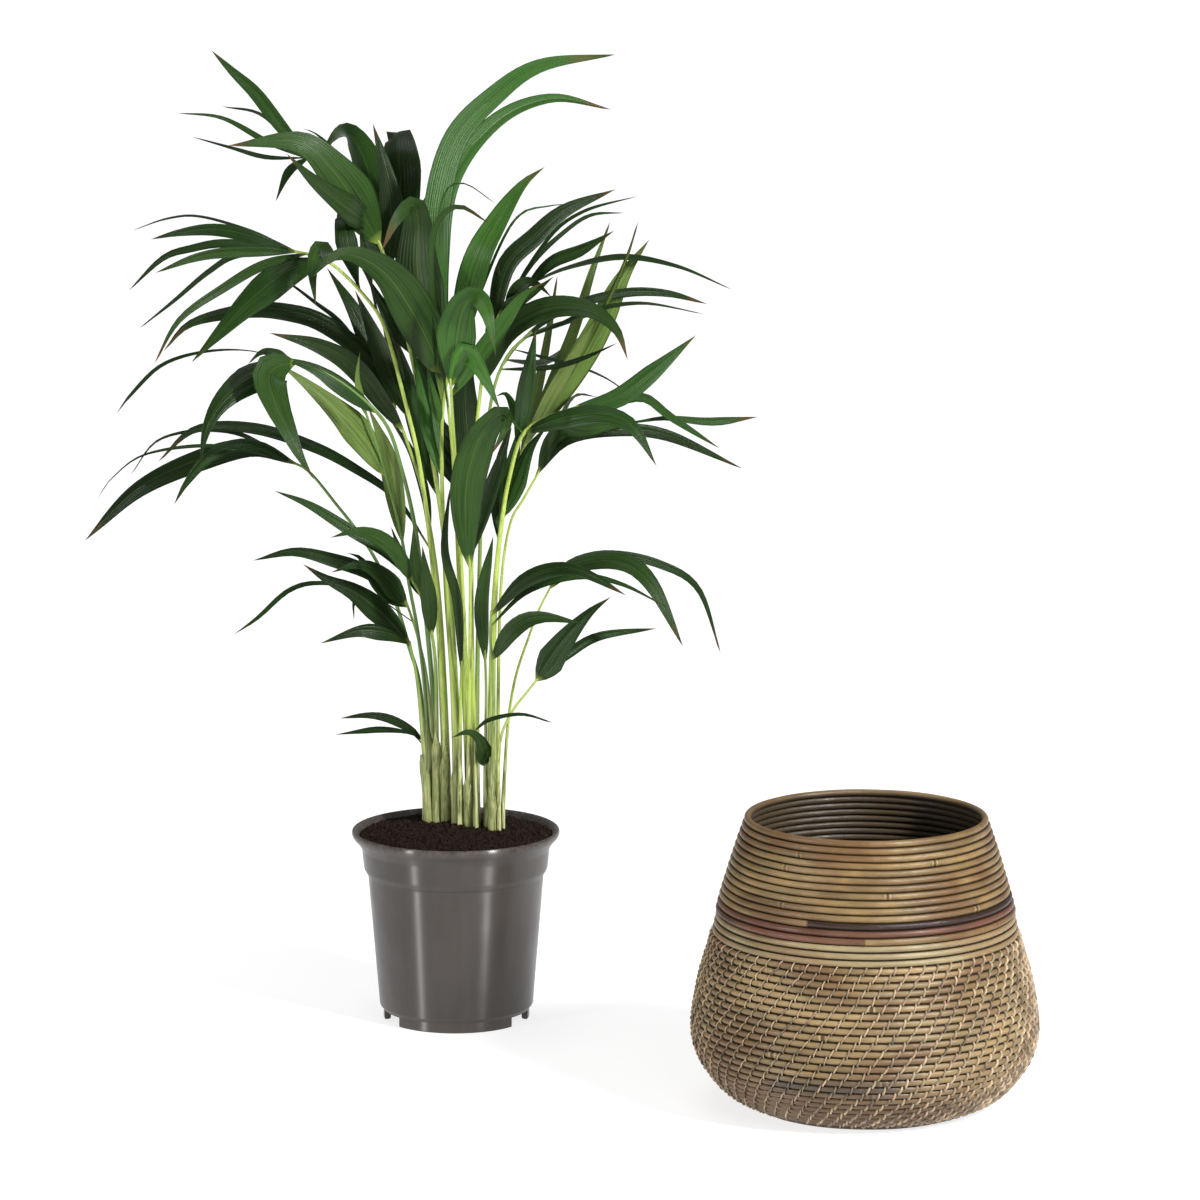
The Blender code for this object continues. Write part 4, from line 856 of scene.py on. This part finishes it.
def pot_cutters():
    """The notches in the foot ring and the drain holes, as one mesh of separate closed cutters."""
    bm = bmesh.new()
    for degrees in POT_NOTCH_DEGREES:
        cube = bmesh.ops.create_cube(bm, size=1.0)["verts"]
        bmesh.ops.scale(bm, vec=(14 * MM, POT_NOTCH_WIDTH * MM, 2 * (POT_FOOT_Z - 2.0) * MM), verts=cube)
        bmesh.ops.translate(bm, vec=((POT_FOOT_INNER_R + POT_FOOT_R) / 2 * MM, 0, MM), verts=cube)
        bmesh.ops.rotate(bm, matrix=Matrix.Rotation(math.radians(degrees), 3, "Z"), verts=cube)
    for index in range(DRAIN_HOLES):
        turn = 2 * math.pi * index / DRAIN_HOLES
        hole = bmesh.ops.create_cone(bm, cap_ends=True, segments=24, radius1=DRAIN_HOLE_R * MM,
                                     radius2=DRAIN_HOLE_R * MM, depth=12 * MM)["verts"]
        at = (DRAIN_CIRCLE_R * math.cos(turn), DRAIN_CIRCLE_R * math.sin(turn),
              (POT_FOOT_Z + POT_FLOOR_Z) / 2)
        bmesh.ops.translate(bm, vec=Vector(at) * MM, verts=hole)
    return new_object("pot_cutters", mesh_from(bm, "pot_cutters"))


class MakePot(Operator):
    """Turn the nursery pot, cut its notches and drain holes, and round its lip"""

    bl_idname = "kentia.make_pot"
    bl_label = "Nursery pot"

    def execute(self, context):
        settings = context.scene.kentia_pot
        outline = [
            (0.0, 0.0), (POT_BOSS_R, 0.0), (POT_BOSS_R + 1.5, POT_FOOT_Z), (POT_FOOT_INNER_R, POT_FOOT_Z),
            (POT_FOOT_INNER_R + 0.8, 0.0), (POT_FOOT_R, 0.0), (POT_FOOT_R, POT_FOOT_Z),
            *POT_OUTSIDE, *reversed(POT_INSIDE), (0.0, POT_FLOOR_Z),
        ]
        made = new_object("nursery_pot", turned_mesh("nursery_pot", rounded(outline, 1.5),
                                                     settings.turn_steps))
        cutters = pot_cutters()
        boolean = made.modifiers.new("Notches", "BOOLEAN")
        boolean.object, boolean.solver = cutters, "EXACT"
        plain_mesh(made)
        bpy.data.objects.remove(cutters, do_unlink=True)
        made.data.shade_smooth()
        made.data.set_sharp_from_angle(angle=math.radians(38))
        made.data.materials.clear()
        made.data.materials.append(pot_plastic(settings))
        place_piece(made, "pot_plastic", "pot")
        return {"FINISHED"}


def soil_height(radius):
    """The height of the soil's smooth mound at a radius, both in millimetres."""
    share = radius / pot_inner_radius(SOIL_EDGE_Z)
    return SOIL_EDGE_Z + (SOIL_MIDDLE_Z - SOIL_EDGE_Z) * (1.0 - share * share)


def new_tree(name, **sockets):
    """A Geometry Nodes tree as a graph, and its inputs: the geometry and the named ones."""
    tree = bpy.data.node_groups.new(name, "GeometryNodeTree")
    for label, kind in {"Geometry": "Geometry", **sockets}.items():
        tree.interface.new_socket(label, in_out="INPUT", socket_type="NodeSocket" + kind)
    tree.interface.new_socket("Geometry", in_out="OUTPUT", socket_type="NodeSocketGeometry")
    graph = Graph(tree)
    return graph, graph.node("NodeGroupInput")


def end_tree(graph, shape, material):
    """Make the instances real, give them their material and hand them out."""
    real = graph.node("GeometryNodeRealizeInstances", {0: shape})
    painted = graph.node("GeometryNodeSetMaterial", {0: real, "Material": material})
    graph.node("NodeGroupOutput", {0: painted})
    return graph.tree


def run_tree(made, tree, **values):
    """The object's mesh as a Geometry Nodes tree makes it with these named input values."""
    modifier = made.modifiers.new(tree.name, "NODES")
    modifier.node_group = tree
    for item in tree.interface.items_tree:
        if item.in_out == "INPUT" and item.name in values:
            modifier[item.identifier] = values[item.name]
    return plain_mesh(made)


def crumb_tree():
    """Geometry Nodes that scatter crumbs of peat over a surface."""
    graph, source = new_tree("Soil crumbs", Density="Float", Size="Float", Material="Material")
    points = graph.node("GeometryNodeDistributePointsOnFaces", {
        "Mesh": source["Geometry"], "Density": source["Density"], "Seed": 7})
    spin, size = (graph.node("FunctionNodeRandomValue", {0: low, 1: high, "Seed": seed},
                             data_type="FLOAT_VECTOR")
                  for low, high, seed in (((0.0, 0.0, 0.0), (6.28, 6.28, 6.28), 3),
                                          ((0.35, 0.35, 0.30), (1.7, 1.3, 1.0), 5)))
    put = graph.node("GeometryNodeInstanceOnPoints", {
        "Points": points, "Instance": graph.node("GeometryNodeMeshIcoSphere", {"Radius": 1.0}),
        "Rotation": spin, "Scale": graph.vector_maths("SCALE", size, source["Size"])})
    return end_tree(graph, put, source["Material"])


class MakeSoil(Operator):
    """Mound the soil in the pot and scatter crumbs of peat over it"""

    bl_idname = "kentia.make_soil"
    bl_label = "Soil"

    def execute(self, context):
        settings = context.scene.kentia_soil
        low, edge_r = POT_FLOOR_Z + 0.3, pot_inner_radius(SOIL_EDGE_Z) - 0.3
        heights = (low, *(height for _, height in POT_INSIDE[1:] if height < SOIL_EDGE_Z))
        outline = [(0.0, low), *((pot_inner_radius(height) - 0.2, height) for height in heights)]
        outline += [(radius, soil_height(radius)) for radius in np.linspace(edge_r, 0.0, 60)]
        mesh = turned_mesh("potting_soil", [(radius * MM, height * MM) for radius, height in outline], 160)
        top = [face.index for face in mesh.polygons if face.normal.z > 0.5]
        for vertex in mesh.vertices:
            if vertex.co.z > (SOIL_EDGE_Z - 0.5) * MM:
                radius = math.hypot(vertex.co.x, vertex.co.y)
                calm = min(1.0, max(0.0, (edge_r - radius / MM) / 8.0))
                lump = noise.fractal(vertex.co * 95.0, 0.8, 2.1, 4) * settings.lumps
                vertex.co.z += lump * (0.35 + 0.65 * calm)
        made = new_object("potting_soil", mesh)
        made.data.shade_smooth()
        made.data.materials.append(soil_material(settings))
        crumbs = new_object("soil_crumbs", listed_mesh(
            "soil_crumbs", [vertex.co for vertex in mesh.vertices],
            [tuple(mesh.polygons[index].vertices) for index in top]))
        run_tree(crumbs, crumb_tree(), Density=settings.crumbs / (math.pi * (edge_r * MM) ** 2),
                 Size=settings.crumb_size, Material=soil_material(settings, "peat_crumbs", 1.5))
        place_piece(made, "soil", "soil")
        place_piece(crumbs, "soil")
        return {"FINISHED"}


def frame_blade(points, turn):
    """The direction across a blade and the way its face looks, at each of its points. The blade is turned
    out of the front view, and its face keeps to one side."""
    last_side = last_up = Vector((0.0, 0.0, 1.0))
    found = []
    for point, along in zip(points, tangents(points)):
        sight = (point - Vector(DRAWN_FROM)).normalized()
        side = along.cross(sight).normalized()
        if side.dot(last_side) < 0:
            side.negate()
        back = side.cross(along)
        if back.dot(sight) < 0:
            back.negate()
        across = side * math.cos(turn) + back * math.sin(turn)
        up = across.cross(along).normalized()
        if up.dot(last_up) < 0:
            up.negate()
        last_side, last_up = side, up
        found.append((across, up))
    return found


def add_blade(vertices, faces, marks, leaflet, places, settings, shade):
    """A pleated leaflet with a face on each side, added to the lists of a frond's mesh."""
    line = leaflet_line(leaflet, places)
    length = lengths_along(line)[-1]
    steps = max(14, round(length * MM / settings.blade_step))
    points = evenly(line, steps)
    turn = math.radians(leaflet.turn)
    widest = leaflet.seen / math.cos(turn)
    cells = settings.blade_cells
    shares = [2.0 * cell / cells - 1.0 for cell in range(cells + 1)]
    ring_of = [(share, 1.0) for share in shares] + [(share, -1.0) for share in reversed(shares[1:-1])]
    start = len(vertices)
    pleats = max(2, round(widest / 6.0))
    for index, (across, up) in enumerate(frame_blade(points, turn)[:-1]):
        share = index / steps
        half = max(ROOT_WIDTH * 0.8, widest * blade_width_share(share, leaflet.peak)) / 2
        half = min(half, max(0.8, (1 - share) * length * 0.16))
        wave = math.sin(share * 9.0 + widest) * 0.05 * half
        for place, face in ring_of:
            drop = ROOF_SLOPE * half * abs(place) ** 1.4
            pleat = settings.pleat / MM * math.cos(place * pleats * math.pi) * min(1.0, half / 9.0)
            thick = face * settings.blade_thick / MM * (0.5 - 0.38 * abs(place) ** 0.6) * (1 - 0.5 * share)
            if abs(place) == 1.0:
                thick = 0.0
            rise = up * (thick - drop + pleat + wave * place * abs(place))
            vertices.append(points[index] + across * (half * place) + rise)
            under = 0.5 if abs(place) == 1.0 else (0.0 if face > 0 else 1.0)
            marks.append((under, shade, share, (place + 1) / 2))
    vertices.append(points[-1])
    marks.append((0.5, shade, 1.0, 0.5))
    count = len(ring_of)
    for ring in range(steps - 1):
        low, high = start + ring * count, start + (ring + 1) * count
        for cell in range(count):
            after = (cell + 1) % count
            faces.append((low + cell, low + after, high + after, high + cell))
    last, tip = start + (steps - 1) * count, len(vertices) - 1
    faces.extend((last + cell, last + (cell + 1) % count, tip) for cell in range(count))
    faces.append(tuple(range(start, start + count)))


def add_tube(vertices, faces, marks, points, radii, sides, shade):
    """A round stalk with closed ends through the points, added to the lists of a frond's mesh."""
    start = len(vertices)
    across = Vector((1.0, 0.0, 0.0))
    for index, (point, along) in enumerate(zip(points, tangents(points))):
        across = (across - along * across.dot(along)).normalized()
        other = along.cross(across)
        for side in range(sides):
            turn = 2 * math.pi * side / sides
            vertices.append(point + (across * math.cos(turn) + other * math.sin(turn)) * radii[index])
            marks.append((0.0, shade, index / (len(points) - 1), side / sides))
    for ring in range(len(points) - 1):
        low = start + ring * sides
        for side in range(sides):
            after = (side + 1) % sides
            faces.append((low + side, low + after, low + sides + after, low + sides + side))
    top = start + (len(points) - 1) * sides
    faces.append(tuple(range(start, start + sides)))
    faces.append(tuple(range(top, top + sides)))


def marked_mesh(name, vertices, faces, marks, materials, slots):
    """A smooth mesh from lists in millimetres, with its marks kept as a colour attribute named leaf."""
    mesh = listed_mesh(name, [vertex * MM for vertex in vertices], faces)
    layer = mesh.attributes.new("leaf", "FLOAT_COLOR", "POINT")
    layer.data.foreach_set("color", [value for mark in marks for value in mark])
    for item in materials:
        mesh.materials.append(item)
    mesh.polygons.foreach_set("material_index", slots)
    bm = bmesh.new()
    bm.from_mesh(mesh)
    bmesh.ops.recalc_face_normals(bm, faces=bm.faces)
    bm.to_mesh(mesh)
    bm.free()
    mesh.shade_smooth()
    mesh.set_sharp_from_angle(angle=math.radians(75))
    return mesh


# How bright a frond's leaflets are, from 0 to 1, where they differ from the rest: partly the leaves' own
# tone, partly painted light, such as the tall frond painted bright for the light shining through it.
USUAL_SHADE = (0.00, 0.17)
LEAF_TONES_AND_PAINTED_LIGHT = {
    "frond_middle_tall": (0.46, 0.56), "frond_right_bright": (0.08, 0.30),
    "frond_middle_fold": (0.40, 0.70), "frond_left_light": (0.45, 0.75),
    "frond_right_upright": (0.10, 0.70), "frond_middle_crown": (0.02, 0.20),
}


class MakeFronds(Operator):
    """Grow each frond: a round stalk out of the soil and its pleated leaflets"""

    bl_idname = "kentia.make_fronds"
    bl_label = "Fronds"

    def execute(self, context):
        settings = context.scene.kentia_palm
        looks = {name: leaf_material(settings, name, *shares) for name, shares in (
            ("leaf_dark", (0.85, 0.08)), ("leaf_green", (1.10, 0.12)), ("leaf_light", (1.30, 0.50, 0.55)))}
        stalk_look = stalk_material(settings)
        chance = random.Random(5)
        for frond in FRONDS:
            vertices, faces, marks = [], [], []
            line = [in_space(point) for point in stalk_line(frond)]
            points = evenly(line, STALK_STEPS)
            stalk_shade = chance.choice((0.0, 0.35, 0.75, 1.0, 1.0))
            radii = []
            for step, point in enumerate(points):
                above = max(0.0, point.z - SWELL_TOP_Z) / SWELL_FADE
                swell = 1.0 + settings.foot_swell * math.exp(-above ** 2)
                radii.append(frond.girth * (1 + (STALK_END_SHARE - 1) * step / STALK_STEPS) * swell)
            add_tube(vertices, faces, marks, points, radii, STALK_SIDES, stalk_shade)
            stalk_faces = len(faces)
            places = [drawn_at(point) for point in evenly(line, 250)[1:-4]]
            for leaflet in frond.leaflets + MORE_LEAFLETS.get(frond.name, ()):
                add_blade(vertices, faces, marks, leaflet, places, settings,
                          chance.uniform(*LEAF_TONES_AND_PAINTED_LIGHT.get(frond.name, USUAL_SHADE)))
            slots = [0] * stalk_faces + [1] * (len(faces) - stalk_faces)
            mesh = marked_mesh(frond.name + "_leaf", vertices, faces, marks,
                               (stalk_look, looks[frond.colour]), slots)
            place_piece(new_object(frond.name + "_leaf", mesh), frond.colour, frond.name)
        return {"FINISHED"}


SHEATHS = (
    # frond, height of the sheath's top, how proud it stands, how far round it goes in degrees, turn
    ("frond_left_split", 262, 1.7, 230, 260), ("frond_left_high", 250, 1.6, 220, 280),
    ("frond_left_broad", 240, 1.6, 230, 240), ("frond_left_light", 272, 1.4, 200, 250),
    ("frond_middle_low", 226, 1.5, 220, 250), ("frond_middle_tall", 240, 1.6, 200, 290),
    ("frond_right_bright", 246, 1.8, 240, 260), ("frond_right_low", 222, 1.6, 220, 240),
)


class MakeSheaths(Operator):
    """Wrap the papery old sheaths round the stalks' feet, split and ragged at the top"""

    bl_idname = "kentia.make_sheaths"
    bl_label = "Leaf sheaths"

    def execute(self, context):
        chance = random.Random(11)
        fronds = {frond.name: frond for frond in FRONDS}
        vertices, faces = [], []
        around = [side / SHEATH_SIDES - 0.5 for side in range(SHEATH_SIDES + 1)]
        for name, top, proud, reach, turn in SHEATHS:
            line = [in_space(point) for point in stalk_line(fronds[name])]
            line = [point for point in line if point.z <= top + 8]
            heights = [point.z for point in line]
            start = len(vertices)
            tops = [top + chance.uniform(-4.0, 4.0) - 56.0 * abs(side) for side in around]
            for row in range(SHEATH_ROWS + 1):
                share = row / SHEATH_ROWS
                radius = fronds[name].girth + proud * (1.0 - 0.45 * share) + 1.3 * share ** 4
                for side, ragged_top in zip(around, tops):
                    height = SHEATH_FOOT_Z + (top + (ragged_top - top) * share - SHEATH_FOOT_Z) * share
                    x, y = (np.interp(height, heights, [point[axis] for point in line]) for axis in (0, 1))
                    angle = math.radians(turn + reach * side)
                    place = (x + radius * math.cos(angle), y + radius * math.sin(angle), height)
                    vertices.append(Vector(place) * MM)
            for row in range(SHEATH_ROWS):
                for side in range(SHEATH_SIDES):
                    low = start + row * (SHEATH_SIDES + 1) + side
                    faces.append((low, low + 1, low + SHEATH_SIDES + 2, low + SHEATH_SIDES + 1))
        made = new_object("dry_sheaths", listed_mesh("dry_sheaths", vertices, faces))
        wall = made.modifiers.new("Wall", "SOLIDIFY")
        wall.thickness, wall.offset = SHEATH_THICK * MM, 0.0
        plain_mesh(made)
        made.data.shade_smooth()
        made.data.materials.append(straw_material(context.scene.kentia_palm))
        place_piece(made, "leaf_light")
        return {"FINISHED"}


def ring_points(name, rings):
    """A mesh of one point for each ring, which carries the ring's radius, tilt, turn and number."""
    mesh = listed_mesh(name, [(*basket_centre(), ring[1]) for ring in rings])
    for column, label in ((0, "ring_radius"), (2, "tilt"), (3, "turned"), (4, "rod")):
        layer = mesh.attributes.new(label, "FLOAT", "POINT")
        layer.data.foreach_set("value", [float(ring[column]) for ring in rings])
    return new_object(name, mesh)


def named_value(graph, name):
    return graph.node("GeometryNodeInputNamedAttribute", {"Name": name}, data_type="FLOAT")[0]


def rings_on_points(graph, points, ring):
    """Each point's ring at the point's own radius, turned by its own turn."""
    radius = named_value(graph, "ring_radius")
    put = graph.node("GeometryNodeInstanceOnPoints", {
        "Points": points, "Instance": ring, "Scale": graph.vector(radius, radius, 1.0),
        "Rotation": graph.vector(z=named_value(graph, "turned"))})
    return graph.node("GeometryNodeRealizeInstances", {0: put})[0]


def coil_tree():
    """Geometry Nodes that bend a cane rod round each ring, wandering a little."""
    graph, source = new_tree("Cane coils", Radius="Float", Wander="Float", Pinch="Float", Steps="Int",
                             Material="Material")
    circle = graph.node("GeometryNodeCurvePrimitiveCircle", {"Resolution": source["Steps"], "Radius": 1.0})
    rings = rings_on_points(graph, source["Geometry"], circle)
    place = graph.node("GeometryNodeInputPosition")
    wobble = graph.node("ShaderNodeTexNoise", {"Vector": place, "Scale": 16.0, "Detail": 1.0})["Color"]
    shift = graph.vector_maths("SUBTRACT", wobble, (0.5, 0.5, 0.5))
    shift = graph.vector_maths("SCALE", shift, source["Wander"])
    moved = graph.node("GeometryNodeSetPosition", {"Geometry": rings, "Offset": shift})
    section = graph.node("GeometryNodeCurvePrimitiveCircle", {"Resolution": 10, "Radius": source["Radius"]})
    index = graph.node("GeometryNodeInputIndex")
    lashed = graph.maths("LESS_THAN", graph.maths("MODULO", index, STEPS_PER_STITCH), 0.5)
    stitched = graph.maths("LESS_THAN", named_value(graph, "rod"), STITCHED_RODS - 0.5)
    pinch = graph.times(graph.times(lashed, stitched), source["Pinch"])
    rods = graph.node("GeometryNodeCurveToMesh", {
        "Curve": moved, "Profile Curve": section, "Scale": graph.minus(1.0, pinch)})
    return end_tree(graph, graph.node("GeometryNodeSetShadeSmooth", {0: rods}), source["Material"])


def stitch_tree():
    """Geometry Nodes that lay slanted lashing stitches over the outside of each ring's rod."""
    graph, source = new_tree("Cane lashing", Centre="Vector", Count="Int", Reach="Float", Width="Float",
                             Slant="Float", Material="Material")
    circle = graph.node("GeometryNodeMeshCircle", {"Vertices": source["Count"], "Radius": 1.0})
    points = rings_on_points(graph, source["Geometry"], circle)
    arc = graph.node("GeometryNodeCurveArc", {
        "Resolution": 6, "Radius": source["Reach"], "Start Angle": math.radians(-78),
        "Sweep Angle": math.radians(156)})
    upright = graph.node("GeometryNodeTransform", {"Geometry": arc, "Rotation": (math.pi / 2, 0.0, 0.0)})
    place = graph.node("GeometryNodeInputPosition")
    lean = graph.vector(y=graph.times(graph.axes(place)[2], source["Slant"]))
    leant = graph.node("GeometryNodeSetPosition", {"Geometry": upright, "Offset": lean})
    section = graph.node("GeometryNodeCurvePrimitiveCircle", {"Resolution": 6, "Radius": 1.0})
    size = graph.vector(graph.times(source["Width"], 0.22), graph.times(source["Width"], 0.5), 1.0)
    strip = graph.node("GeometryNodeTransform", {"Geometry": section, "Scale": size})
    stitch = graph.node("GeometryNodeCurveToMesh", {
        "Curve": leant, "Profile Curve": strip, "Fill Caps": True})
    off = graph.axes(graph.vector_maths("SUBTRACT", place, source["Centre"]))
    chance = graph.node("FunctionNodeRandomValue", {2: -0.22, 3: 0.22, "Seed": 9}, data_type="FLOAT")[1]
    turn = graph.vector(chance, named_value(graph, "tilt"), graph.maths("ARCTAN2", off[1], off[0]))
    put = graph.node("GeometryNodeInstanceOnPoints", {
        "Points": points, "Instance": stitch, "Rotation": turn})
    return end_tree(graph, put, source["Material"])


def rod_rings(first, count):
    """Radius, height, tilt, turn and number of each rod of a stack, in metres and radians."""
    line, runs = basket_curve()
    rings = []
    for index in range(first, first + count):
        here = basket_point(line, runs, (index + 0.5) / ALL_RODS, 0.0)
        above = basket_point(line, runs, (index + 0.9) / ALL_RODS, 0.0)
        tilt = -math.atan2(here.x - above.x, above.z - here.z)
        rings.append((here.x * MM, here.z * MM, tilt, index * ROD_TURN, index))
    return rings


def lashed_rings(settings, count):
    """The rings of the belly's rods, each turned a little further so that the stitches step sideways."""
    step = 2 * math.pi / settings.stitches
    return [(radius - LASHED_INSET * MM, height, tilt, index * step * settings.row_shift, index)
            for radius, height, tilt, _, index in rod_rings(0, count)]


def basket_lining():
    """A dark wall in the middle of the rods, so that no light shows between them: a sheet of painted shade
    where the gaps between the rods are only shade.
    """
    middles = [ring[:2] for ring in rod_rings(0, ALL_RODS)]
    outline = [(across + LINING_HALF * MM, up) for across, up in middles]
    outline += [(across - LINING_HALF * MM, up) for across, up in reversed(middles)]
    lining = turned_mesh("basket_core", outline + outline[:1], 96)
    lining.transform(Matrix.Translation((*basket_centre(), 0.0)))
    lining.shade_smooth()
    lining.materials.append(Look("core_shade", 0.9, PAINTED_LINING_SHADE, 0.1).finish())
    return new_object("basket_core", lining)


class MakeCoils(Operator):
    """Wind the cane rods of the basket's belly, dark band, neck and base"""

    bl_idname = "kentia.make_coils"
    bl_label = "Basket coils"

    def execute(self, context):
        settings = context.scene.kentia_basket
        tree = coil_tree()
        cane, radius = settings.cane_colour, settings.rod_thick / 2
        base = [((BASE_ROD_R + BASE_ROD_STEP * index) * MM, radius + BASE_LIFT * MM, 0.0, index * 2.4,
                 60 + index) for index in range(BASE_RODS)]
        stacks = (
            ("neck", rod_rings(BELLY_RODS + DARK_RODS, NECK_RODS), "rattan", "basket_neck_coils",
             cane * 0.88, {}),
            ("dark", rod_rings(BELLY_RODS, DARK_RODS), "rattan_dark", "basket_dark_coils",
             cane, {"band_from": BELLY_RODS}),
            ("belly", lashed_rings(settings, BELLY_RODS), "rattan", "basket_belly_coils",
             Color(BELLY_CANE), {"pale_from": STITCHED_RODS - 0.5}),
            ("base", base, "rattan", "basket_base", cane * 0.6, {}),
        )
        for name, rings, slot, node, colour, zones in stacks:
            lashed = name == "belly"
            made = run_tree(
                ring_points(f"basket_{name}_canes", rings), tree, Radius=radius,
                Wander=settings.rod_wander * (0.4 if lashed else 1.0),
                Pinch=settings.pinch if lashed else 0.0,
                Steps=settings.stitches * STEPS_PER_STITCH if lashed else 132,
                Material=cane_material(settings, f"cane_{name}", colour, **zones))
            place_piece(made, slot, node)
        place_piece(basket_lining(), "rattan")
        return {"FINISHED"}


class MakeStitches(Operator):
    """Lash the belly's rods with slanted stitches in staggered rows"""

    bl_idname = "kentia.make_stitches"
    bl_label = "Basket lashing"

    def execute(self, context):
        settings = context.scene.kentia_basket
        made = run_tree(
            ring_points("basket_lashing", lashed_rings(settings, STITCHED_RODS)), stitch_tree(),
            Centre=(*basket_centre(), 0.0), Count=settings.stitches, Width=settings.stitch_width,
            Reach=settings.rod_thick / 2 + STITCH_PROUD * MM, Slant=settings.stitch_slant,
            Material=lashing_material(settings))
        place_piece(made, "rattan")
        return {"FINISHED"}


LIGHTS = (
    # name, where it stands, its share of the power, its width and height, and where it points
    ("left_strip", (-1.9, -1.6, 0.32), 0.62, (0.20, 0.6), (0.0, 0.0, 0.2)),
    ("right_strip", (1.75, -1.75, 1.6), 2.3, (0.20, 0.7), (0.0, 0.0, 0.2)),
    ("front_softbox", (1.2, -3.2, 2.6), 0.32, (1.2, 1.2), (0.15, -0.1, 0.4)),
    ("top_softbox", (-0.2, 0.4, 2.8), 0.42, (1.6, 1.6), (0.1, 0.0, 0.3)),
)


class MakeStage(Operator):
    """Lay the pale floor and set up the camera and the soft lights"""

    bl_idname = "kentia.make_stage"
    bl_label = "Floor, camera and lights"

    def execute(self, context):
        settings = context.scene.kentia_stage
        bm = bmesh.new()
        bmesh.ops.create_grid(bm, x_segments=1, y_segments=1, size=FLOOR_HALF)
        floor = new_object("studio_floor", mesh_from(bm, "studio_floor"))
        paper = Look("studio_paper", 0.9, settings.backdrop, 0.0)
        away = paper.vector_maths("LENGTH", paper.place)["Value"]
        paper.give("Emission Strength", paper.spread(away, 0.5, 3.0, 0.77, 0.92))
        paper.give("Emission Color", (1.0, 1.0, 1.0))
        floor.data.materials.append(paper.finish())

        camera = bpy.data.cameras.new("camera")
        camera.lens, camera.sensor_width, camera.clip_end = settings.lens, 36.0, 100.0
        eye = new_object("camera", camera)
        eye.location = [value * MM for value in DRAWN_FROM]
        eye.rotation_euler = (math.radians(90 - CAMERA_PITCH_DEGREES), 0.0, 0.0)
        context.scene.camera = eye

        for name, at, share, size, aim in LIGHTS:
            lamp = bpy.data.lights.new(name, "AREA")
            lamp.energy = settings.key_power * share
            lamp.shape, lamp.size, lamp.size_y = "RECTANGLE", *size
            made = new_object(name, lamp)
            made.location = at
            made.rotation_euler = (Vector(aim) - Vector(at)).to_track_quat("-Z", "Y").to_euler()
        world = bpy.data.worlds.new("studio_air")
        world.use_nodes = True
        air = world.node_tree.nodes["Background"].inputs
        air[0].default_value, air[1].default_value = (1.0, 1.0, 1.0, 1.0), AIR_STRENGTH
        context.scene.world = world
        context.scene.view_settings.view_transform = "Standard"
        return {"FINISHED"}


SETTINGS = (
    ("kentia_pot", PotSettings), ("kentia_soil", SoilSettings), ("kentia_palm", PalmSettings),
    ("kentia_basket", BasketSettings), ("kentia_stage", StageSettings),
)
OPERATORS = (MakePot, MakeSoil, MakeFronds, MakeSheaths, MakeCoils, MakeStitches, MakeStage)


class KentiaPanel(Panel):
    """The palm's pieces and their sizes and colours"""

    bl_idname = "VIEW3D_PT_kentia"
    bl_label = "Kentia palm"
    bl_space_type = "VIEW_3D"
    bl_region_type = "UI"
    bl_category = "Kentia palm"

    def draw(self, context):
        for operator in OPERATORS:
            self.layout.operator(operator.bl_idname)
        for name, group in SETTINGS:
            box = self.layout.box()
            for label in group.__annotations__:
                box.prop(getattr(context.scene, name), label)


def register():
    for name, group in SETTINGS:
        bpy.utils.register_class(group)
        setattr(bpy.types.Scene, name, PointerProperty(type=group))
    for item in (*OPERATORS, KentiaPanel):
        bpy.utils.register_class(item)


def unregister():
    for item in (KentiaPanel, *reversed(OPERATORS)):
        bpy.utils.unregister_class(item)
    for name, group in reversed(SETTINGS):
        delattr(bpy.types.Scene, name)
        bpy.utils.unregister_class(group)


def main():
    register()
    for operator in OPERATORS:
        getattr(bpy.ops.kentia, operator.bl_idname.split(".")[1])()


if __name__ == "__main__":
    main()
